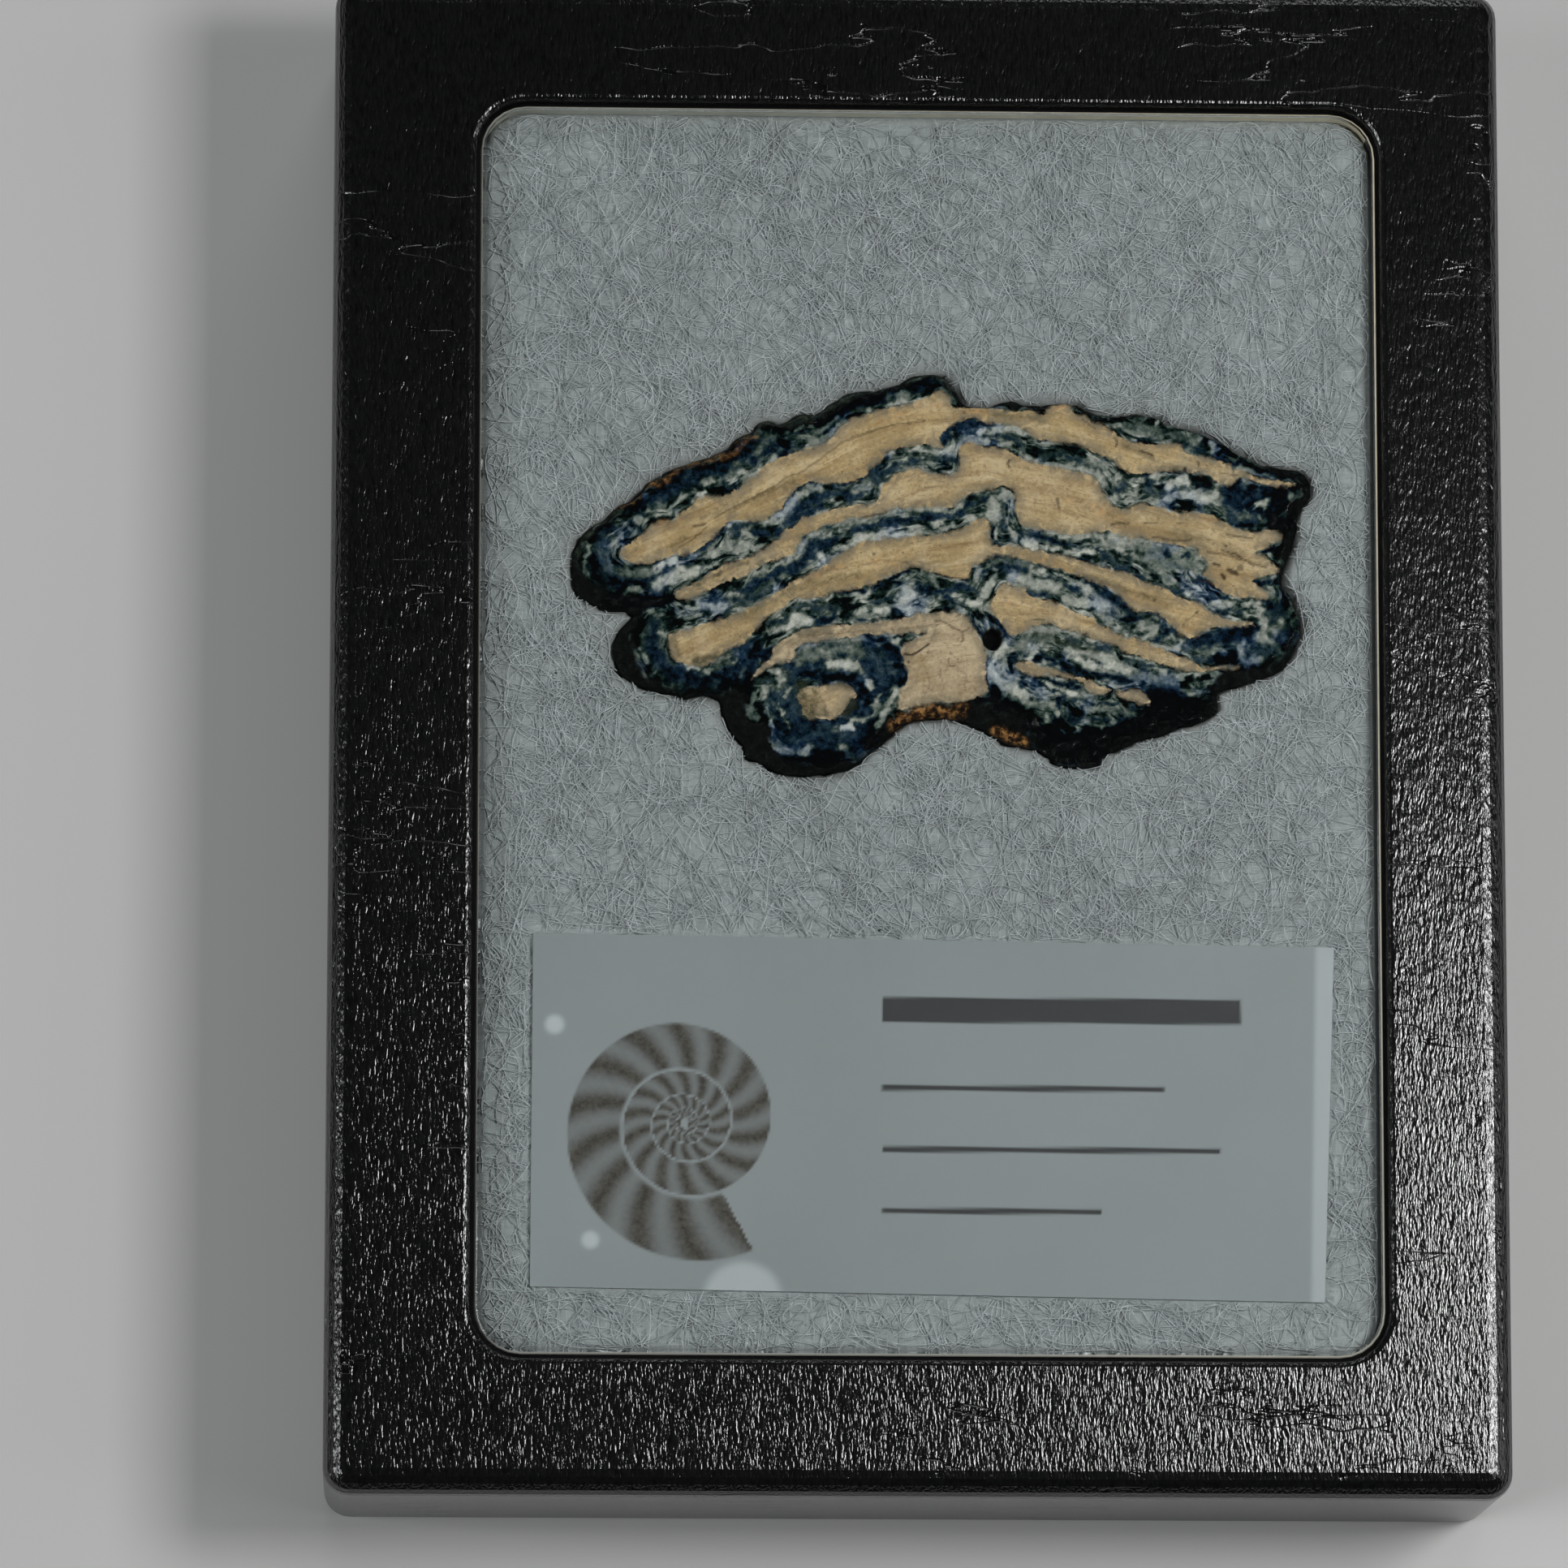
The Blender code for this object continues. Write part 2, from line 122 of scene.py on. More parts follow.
# Soft lights, as (name, place, size, power, colour), in metres and watts
SOFTBOXES = [
    ("key_softbox", (0.17, 0.0, 0.33), (0.09, 0.09), 0.6, (1.0, 1.0, 1.0)),
    ("left_softbox", (-0.85, -0.2, 0.62), (0.5, 0.3), 4.6, (0.97, 0.99, 1.0)),
    ("right_softbox", (0.85, -0.1, 0.66), (0.5, 0.5), 1.2, (0.98, 0.99, 1.0)),
    ("far_softbox", (0.05, 0.9, 0.62), (0.7, 0.4), 2.2, (0.97, 0.99, 1.0)),
]
WORLD_COLOUR = (0.95, 0.98, 1.0, 1.0)
WORLD_STRENGTH = 0.02

# The slice's widest outline, clockwise from its left tip
SLICE_OUTLINE = [
    -24.8, 12, -24.7, 13, -24.3, 13.9, -23.5, 14.8, -22.6, 15.4, -22, 15.9, -21.3, 16.5, -20.4, 17, -19.8,
    17.6, -19.3, 18.2, -18.4, 18.7, -17.7, 19.2, -16.9, 19.5, -16, 19.8, -15.2, 20, -14.3, 20.4, -13.6,
    20.8, -13, 21.4, -12.3, 21.9, -11.8, 21.9, -11.5, 22.5, -10.9, 22.9, -10.1, 22.6, -9.3, 22.8, -8.6,
    23.3, -7.9, 23.4, -7.2, 23.3, -6.6, 23.7, -5.8, 24.3, -5, 24.8, -3.9, 25.1, -2.9, 25.1, -2, 25.4, -1.2,
    25.6, -0.6, 26, 0.2, 26.3, 1.2, 26.4, 2, 26.1, 2.4, 25.4, 2.8, 25, 3.1, 24.4, 3.8, 24, 5.2, 24, 6,
    24.3, 6.8, 24.45, 7.7, 24.2, 8.6, 24.1, 9.6, 24.25, 10.9, 24.35, 11.7, 24.15, 12.2, 23.8, 12.8, 23.5,
    14, 23.4, 15, 23.4, 15.8, 23.6, 16.5, 23.4, 17.3, 23.3, 17.8, 22.9, 18.8, 22.6, 19.8, 22.45, 20.5,
    22.05, 21.3, 21.75, 22.1, 21.4, 22.7, 20.9, 23.5, 20.5, 24.3, 20.2, 25, 19.9, 25.9, 19.75, 26.8, 19.6,
    27.5, 19.55, 28.1, 19, 28.4, 18.2, 28.3, 17.4, 27.7, 16.9, 27.4, 16.2, 27.3, 15.2, 27.1, 14.3, 26.8,
    13.5, 26.5, 12.7, 26.2, 11.8, 26.25, 10.9, 26.8, 10.4, 27, 9.7, 27.4, 8.9, 27.6, 8.1, 27.4, 7.1, 26.9,
    6, 26.3, 5.1, 25.4, 4.6, 24.4, 4.2, 23.3, 3.8, 22.3, 3.55, 21.6, 3.3, 21.4, 2.7, 21.55, 2, 20.9, 1.4,
    20, 1, 19, 0.8, 18.3, 0.5, 17.6, 0.1, 16.6, 0, 15.8, -0.25, 15, -0.7, 14, -1.1, 13.3, -1.5, 13, -2.1,
    12.1, -2.25, 11, -2.2, 10, -2, 9.3, -1.4, 8.4, -0.95, 7.3, -0.8, 6.2, -0.5, 5.2, 0.1, 4.2, 0.6, 3.2,
    1.05, 2, 1.2, 0.7, 1.2, -0.5, 0.95, -1.4, 0.5, -2.2, -0.2, -2.8, -0.85, -3.4, -1.2, -4, -1.85, -4.8,
    -2.4, -5.8, -2.7, -7, -2.9, -8.4, -3, -9.6, -2.85, -10.6, -2.55, -11.4, -2, -12.3, -1.7, -12.5, -0.8,
    -13.1, -0.2, -13.5, 0.4, -13.8, 1.3, -14, 2.1, -14.5, 2.7, -15.5, 2.8, -16.7, 2.6, -17.6, 2.85, -18.7,
    3.05, -19.7, 3.3, -20.5, 3.8, -21.3, 4.3, -21.7, 5.2, -21.8, 6.2, -21.5, 7.1, -20.9, 7.9, -20.35, 8.5,
    -21, 8.85, -22.2, 8.95, -23.2, 9.35, -24.2, 9.9, -24.6, 10.6
]

# The polished face's edge, clockwise from the left tip
FACE_OUTLINE = [
    -24.05, 12.1, -24, 13.2, -23.4, 14.2, -22.4, 15.1, -21.7, 15.5, -21.1, 16.2, -20.2, 16.8, -19.5, 17.5,
    -18.5, 18.1, -17.7, 18.8, -16.8, 19.2, -15.2, 19.6, -14.1, 20, -13.4, 20.4, -12.7, 21.1, -12, 21.4,
    -11.3, 22.2, -10.5, 22.4, -9.4, 22.1, -8, 22.2, -7.1, 22.4, -5.9, 23.4, -4.8, 24.2, -3.3, 24.6, -1.5,
    25.1, -0.4, 25.6, 0.6, 25.95, 1.5, 25.8, 2, 25.2, 2.6, 24.3, 3.4, 23.85, 5.2, 23.8, 7, 23.75, 8.9,
    23.7, 9.7, 24, 10.8, 24.15, 11.5, 23.7, 12.2, 23.35, 14, 23.2, 15.8, 23.3, 17.2, 23.1, 17.8, 22.7,
    19.6, 22.3, 21.2, 21.6, 22, 21.2, 22.9, 20.7, 24, 20.1, 25, 19.5, 26.3, 19, 27.2, 18.6, 27.5, 17.9,
    27.1, 17, 26.3, 16.2, 25.4, 15.8, 25.5, 15.2, 26.2, 14.9, 26.4, 14.2, 26.3, 13.4, 26, 12.5, 25.9, 11.6,
    26, 10.9, 26.5, 10.1, 26.9, 9.2, 27.2, 8.2, 26.9, 7.1, 26.2, 6, 24.9, 5.4, 23, 5, 21.8, 4.9, 21.2, 4.2,
    20.9, 3.2, 19.8, 2.6, 18, 2.3, 16.7, 1.8, 15.6, 1, 14, 0.3, 12, -0.2, 10.4, -0.3, 9.3, 0.2, 8.3, 1.2,
    7.4, 2, 6.2, 2.6, 5.3, 2.95, 4.3, 2.6, 3, 2.35, 1.2, 2.25, -0.3, 1.9, -1.6, 1.3, -2.5, 0.6, -3.2, -0.4,
    -4, -1.3, -5.2, -1.95, -6.8, -2.15, -8.4, -2, -9.7, -1.6, -10.3, -1.1, -10.5, 0.2, -11.1, 0.8, -11.8,
    0.9, -12.2, 1.8, -12.3, 2.9, -13.2, 3.2, -14.6, 3.1, -15.7, 3.2, -17.1, 3.05, -18.3, 3.7, -19.5, 4.5,
    -20.2, 5.7, -20.35, 7, -20, 8.1, -19.2, 8.9, -18.2, 9.3, -17.5, 9.8, -18.6, 10.05, -20.2, 10, -21.8,
    10.1, -22.7, 10.8, -23.7, 11.2
]

PIT_OUTLINE = [
    5, 7.7, 4.7, 7.2, 4.75, 6.6, 5.1, 6.2, 5.6, 6.1, 6, 6.5, 6.1, 7.1, 5.8, 7.6, 5.4, 7.85
]

# The middle line of the topmost band, which the lengthwise streaks of all bands follow
ARCH = [
    -25, 10.5, -20, 13.3, -15, 15.5, -10, 18, -5, 20.5, 0, 22.5, 5, 23.3, 10, 22.5, 15, 21, 20, 19.7, 25,
    18.7, 29, 18.3
]

# Dentine: the cream bands, each a closed outline in the case's millimetres
TOP_BAND = [
    -21.4, 12.9, -21.2, 13.3, -20.4, 13.8, -19.8, 14.3, -19.2, 14.9, -18.6, 15.2, -17.6, 15.3, -17.2, 15.8,
    -16.4, 16.2, -16, 16.9, -15.3, 17.2, -14.6, 17.1, -13.8, 17.2, -13, 17.6, -12.4, 18.2, -11.8, 18.6,
    -11.3, 19.1, -10.8, 19.6, -10.1, 19.9, -9.6, 20.2, -9, 20.4, -8, 20.7, -7, 20.9, -6.4, 21.4, -5.8, 22,
    -5.2, 22.5, -4.8, 22.9, -4, 23.1, -3.4, 23.3, -2.8, 23.6, -2.2, 23.7, -1.4, 23.9, -0.6, 24.1, 0.2,
    24.4, 1, 24.8, 1.5, 25, 2, 24.9, 2.3, 24.5, 2.4, 24.1, 2.7, 23.8, 3.3, 23.8, 4.2, 23.9, 5.3, 23.8, 6.2,
    23.6, 7.4, 23.6, 8.4, 23.5, 9, 23.3, 9.4, 23.8, 9.9, 24.2, 10.9, 24.1, 11.2, 23.6, 12.3, 23, 13, 22.7,
    13.9, 22.3, 14.5, 21.8, 15.5, 21.4, 17, 21.2, 18.5, 21.3, 19, 21.1, 19.6, 20.6, 20.4, 20.4, 21.2, 20.2,
    22.2, 19.9, 22.8, 19.5, 23.6, 19.2, 24.4, 18.9, 25.3, 18.7, 26.5, 18.5, 27.2, 18.5, 26.8, 18.3, 25.5,
    18.25, 24.5, 18.5, 23.5, 18.8, 22.9, 18.7, 22.3, 18.3, 21.5, 18.6, 21, 19, 20, 19.2, 19.3, 19.3, 18.2,
    19.3, 16.8, 19.2, 15.8, 19.1, 15, 19.2, 14.5, 19.6, 14.1, 20.1, 13.4, 20.3, 12.8, 20.7, 12, 21, 11.2,
    21.3, 10, 21.4, 9.2, 21.55, 8.5, 21.6, 8, 22, 7.4, 22.4, 6.8, 22.6, 6, 22.6, 5.2, 22.7, 4.6, 22.9, 3.8,
    23, 3.2, 22.9, 2.5, 22.6, 2, 22.2, 1.6, 21.9, 1.55, 21.3, 1.8, 20.9, 1.2, 20.85, 0.4, 21.1, -0.4, 21,
    -1.4, 20.8, -2.2, 20.5, -2.6, 20.1, -3, 19.6, -3.4, 19.3, -3.7, 18.9, -4.2, 18.5, -5, 18.3, -6, 18.2,
    -6.8, 18.2, -7.5, 18.3, -8, 18.2, -8.8, 17.8, -9.2, 17.2, -9.6, 16.8, -9.9, 16.2, -10.6, 15.7, -11.5,
    15.3, -12.6, 15.5, -13.4, 15.4, -13.9, 15.1, -14.3, 14.6, -14.8, 14, -15.4, 13.5, -16.1, 13, -17, 12.9,
    -17.7, 12.8, -18.4, 12.5, -19.2, 12.2, -20.2, 12.15, -20.8, 12.4, -21.2, 12.6
]
SECOND_BAND = [
    -17.4, 10, -17.3, 10.2, -16.4, 10.6, -15.6, 11, -15, 11.4, -14.2, 12, -13.4, 12.3, -12.6, 12.5, -12,
    12.8, -11.2, 13.2, -10.6, 13.6, -10, 14.1, -9.4, 14.7, -8.8, 15.1, -8.1, 15.7, -7, 15.9, -6, 16.3,
    -5.2, 16.5, -4.4, 16.6, -3.6, 16.6, -3, 16.9, -2.7, 17.4, -2.6, 18, -2, 18.5, -1.4, 19, -0.6, 19.3, 0,
    19.3, 0.8, 19.1, 1.6, 18.9, 2.4, 18.9, 2.9, 19.3, 3, 20, 3.1, 20.8, 3.6, 21.3, 4.2, 21.2, 4.8, 21, 5.6,
    20.95, 6.2, 20.8, 6.9, 20.4, 7.5, 20.1, 8.2, 19.9, 8.9, 19.7, 9.6, 19.6, 10.4, 19.4, 11.2, 19.2, 12,
    19, 12.6, 18.8, 13, 18.3, 13.3, 17.7, 13.6, 17.2, 14.2, 16.6, 15, 16.4, 15.8, 16.8, 16.6, 16.8, 17.6,
    16.6, 18.6, 16.3, 19.6, 16.3, 20.6, 16.2, 21.6, 15.8, 22.4, 15.4, 23.4, 15, 24.2, 14.8, 25, 15, 25.8,
    14.9, 26.2, 14.6, 26.1, 14.3, 25.4, 14, 24.6, 13.6, 24.3, 13.35, 24.8, 13.2, 25.1, 12.8, 25.6, 12.4,
    25.9, 12, 25.3, 11.6, 24.4, 11.5, 24, 11.3, 24.4, 11, 25, 10.6, 25.2, 10.1, 24.6, 9.9, 23.8, 10.1,
    22.8, 10.2, 22.2, 10.3, 21.6, 10.7, 21, 11.2, 20.6, 11.8, 20.9, 12.4, 20.6, 12.9, 20.2, 13.3, 20, 13.7,
    19, 13.9, 18, 13.9, 17, 14.2, 16, 14.4, 15, 14.4, 14, 14.9, 13.5, 14.9, 12.5, 14.7, 11.5, 14.6, 10.5,
    14.6, 9.8, 14.8, 9, 14.9, 8.2, 15, 7.3, 15.4, 7.1, 16.2, 7, 17, 6.9, 17.6, 6.5, 18, 5.8, 18, 5.2, 17.8,
    4.4, 17.7, 3.6, 17.4, 3.1, 17, 2.6, 16.6, 1.8, 16.5, 0.8, 16.5, -0.2, 16.4, -1.2, 16.4, -2.2, 16.3,
    -2.8, 16, -3.6, 15.7, -4.2, 15.75, -5.2, 15.5, -6, 15.2, -6.8, 15.1, -7.5, 14.7, -8.2, 14.4, -8.6,
    13.7, -9, 13, -10, 12.6, -11, 12.3, -11.8, 11.8, -12.4, 11.4, -13.2, 11.1, -14, 10.8, -14.8, 10.4,
    -15.6, 10, -16.4, 9.6, -17.2, 9.7
]
THIRD_BAND = [
    -17.9, 6.6, -17.8, 7.1, -17, 7.3, -16.2, 7.5, -15.4, 7.8, -14.6, 8, -13.8, 8.3, -13, 8.6, -12.2, 9,
    -11.4, 9.4, -10.6, 9.9, -10, 10.3, -9.2, 10.8, -8.4, 11.2, -7, 12, -6, 12.7, -5.2, 13.2, -4, 13.9, -3,
    14.1, -2, 14.2, -1, 14.3, 0, 14.4, 1, 14.5, 2, 14.6, 3, 14.8, 3.6, 15.2, 4.2, 15.5, 4.9, 15.6, 5.1,
    15.2, 5.1, 14.4, 5.4, 13.9, 5.9, 13.7, 6.8, 13.75, 7.8, 13.5, 8.8, 13.35, 9.5, 13.2, 10.2, 13, 10.6,
    13.1, 11.2, 12.85, 11.8, 12.6, 12.4, 12.45, 13.2, 12.3, 14, 12, 15, 11.8, 15.8, 11.4, 16.6, 11.1, 17.4,
    10.8, 18.2, 10.4, 19, 10, 19.8, 9.8, 20.4, 9.6, 20.8, 9.1, 21.4, 8.8, 22, 8.6, 22.8, 8.3, 23.6, 8.3,
    24.2, 8.1, 23.4, 8, 22.4, 7.9, 21.6, 7.95, 20.8, 7.8, 20.2, 7.4, 19.6, 7.1, 19.1, 7.2, 18.8, 7.4, 18.3,
    8, 17.7, 8.4, 17.1, 8.9, 16.6, 9, 15.8, 9, 15.2, 9.3, 14.8, 9.8, 14.4, 10.3, 14, 10.6, 13.4, 10.9,
    12.8, 11.1, 12.2, 11.3, 11.6, 11.6, 11, 11.8, 10.4, 11.9, 9.6, 12.1, 9, 12.3, 8.2, 12.5, 7.4, 12.7,
    6.8, 12.9, 6.2, 13, 5.6, 13.1, 5.1, 12.9, 4.6, 12.5, 4, 12.2, 3.7, 11.8, 3.6, 11.3, 3, 11.3, 2.2, 11.4,
    1.4, 11.6, 0.7, 11.9, 0.2, 12.1, -0.4, 12.1, -1.2, 11.8, -1.9, 11.5, -2.6, 11.2, -3.2, 10.8, -4, 10.6,
    -4.8, 10.4, -5.8, 10.2, -6.6, 10, -7.4, 9.8, -8, 9.7, -8.8, 9.8, -9.4, 9.4, -9.8, 9, -10.4, 8.7, -11,
    8.3, -11.4, 7.8, -11.7, 7.3, -12.2, 6.8, -12.6, 6.4, -13.2, 6.2, -13.8, 5.9, -14.4, 5.3, -15, 4.9,
    -15.8, 4.8, -16.4, 4.75, -17, 4.9, -17.5, 5.3, -17.8, 6
]
ROOT_PATCH = [
    -11.9, 3.9, -11.6, 4.5, -11, 5, -10.5, 5.5, -10.3, 6.1, -9.8, 6.6, -9.2, 6.9, -8.4, 7.4, -7.4, 7.6,
    -6.4, 7.7, -5.4, 7.9, -4.4, 7.9, -3.4, 8, -2.4, 8.2, -1.4, 8.3, -0.6, 8.5, 0.2, 8.7, 1, 8.7, 1.6, 8.8,
    2.2, 8.7, 2.6, 8.9, 3, 8.7, 3.5, 8.6, 3.7, 8.2, 3.9, 7.8, 4.2, 7.4, 4.5, 7, 4.7, 6.7, 4.9, 6.2, 5, 5.6,
    4.85, 5, 4.8, 4.4, 4.8, 3.8, 5, 3.2, 4.6, 2.9, 4.2, 2.6, 3.6, 2.4, 2.8, 2.35, 1.8, 2.3, 0.8, 2.2, 0, 2,
    -0.6, 1.8, -1.2, 1.7, -1.5, 2, -1.4, 2.6, -1.2, 3.2, -0.9, 3.6, -0.7, 4.1, -0.8, 4.6, -1, 5.2, -1.2,
    5.7, -1.3, 6, -1, 6.3, -0.4, 6.8, 0.2, 7.1, 0.9, 7.3, -0.2, 7.3, -1.6, 7.2, -2.8, 7.2, -3.8, 7.2, -4.4,
    7, -5.4, 6.9, -6.4, 6.8, -7.4, 6.6, -8, 6.5, -8.6, 6.2, -8.9, 5.9, -9, 5.3, -9.5, 5.2, -10.2, 4.9,
    -10.9, 4.6, -11.4, 4.3
]
LOWER_BAND = [
    6.2, 7.8, 5.9, 8.2, 5.3, 8.7, 5, 9.1, 5.3, 9.7, 5.6, 10.2, 5.8, 10.7, 6.3, 11, 6.9, 10.8, 7.6, 10.6,
    7.9, 10.2, 8.6, 9.9, 9.4, 9.8, 10, 9.5, 10.6, 9.3, 11.2, 8.9, 11.8, 8.8, 12.4, 8.5, 13, 8, 13.6, 7.7,
    14.2, 7.4, 15, 7, 15.8, 7, 16.6, 6.7, 17, 6.4, 17.6, 6.3, 18.4, 5.9, 19, 5.6, 19.8, 5.3, 20.4, 5, 21.2,
    4.9, 22.4, 5, 23, 5, 20.6, 4.7, 19.6, 4.7, 18.8, 4.8, 18, 5, 17.2, 5.2, 16.4, 5.5, 15.6, 5.8, 14.8,
    6.1, 14.2, 6.5, 13.4, 6.7, 12.6, 6.9, 12, 7.2, 11.4, 7.4, 10.8, 7.6, 10, 7.9, 9.6, 8, 8.8, 8, 8.2, 7.9,
    7.8, 7.6, 7.2, 7.3, 6.6, 7.2
]
LOOP_HEART = [
    -8.4, 3.2, -7.8, 3.3, -7, 3.3, -6.2, 3.5, -5.4, 3.5, -4.8, 3.2, -4.4, 2.8, -4.9, 2.3, -5.3, 1.8, -5.5,
    1.3, -6.2, 1, -7, 1, -7.8, 1, -8.3, 1.4, -8.4, 2, -8.6, 2.6
]
SPLINTERS = [
    [7, 5, 7.6, 5.2, 8.2, 5.3, 8.6, 5, 9.4, 4.8, 10.4, 4.5, 11.2, 4.2, 12, 4, 12.6, 3.8, 13.2, 3.5, 13.8,
     3.3, 13.2, 3, 12.4, 3, 12.1, 3.3, 11.8, 3.8, 11, 4, 10, 4.2, 9.2, 4.3, 8.6, 4.3, 7.8, 4.4, 7.3, 4.6],
    [14.2, 3.2, 15, 3.2, 15.8, 3.3, 16.2, 2.9, 16.6, 2.4, 16.2, 2.2, 15.4, 2.5, 14.6, 2.8],
]

# How pink each patch of dentine is, from golden at 0 to a pale pinkish cream at 1
DENTINE = [(TOP_BAND, 0.15), (SECOND_BAND, 0.35), (THIRD_BAND, 0.2), (ROOT_PATCH, 1.0),
           (LOWER_BAND, 0.3), (LOOP_HEART, 0.6), (SPLINTERS[0], 0.6), (SPLINTERS[1], 0.7)]

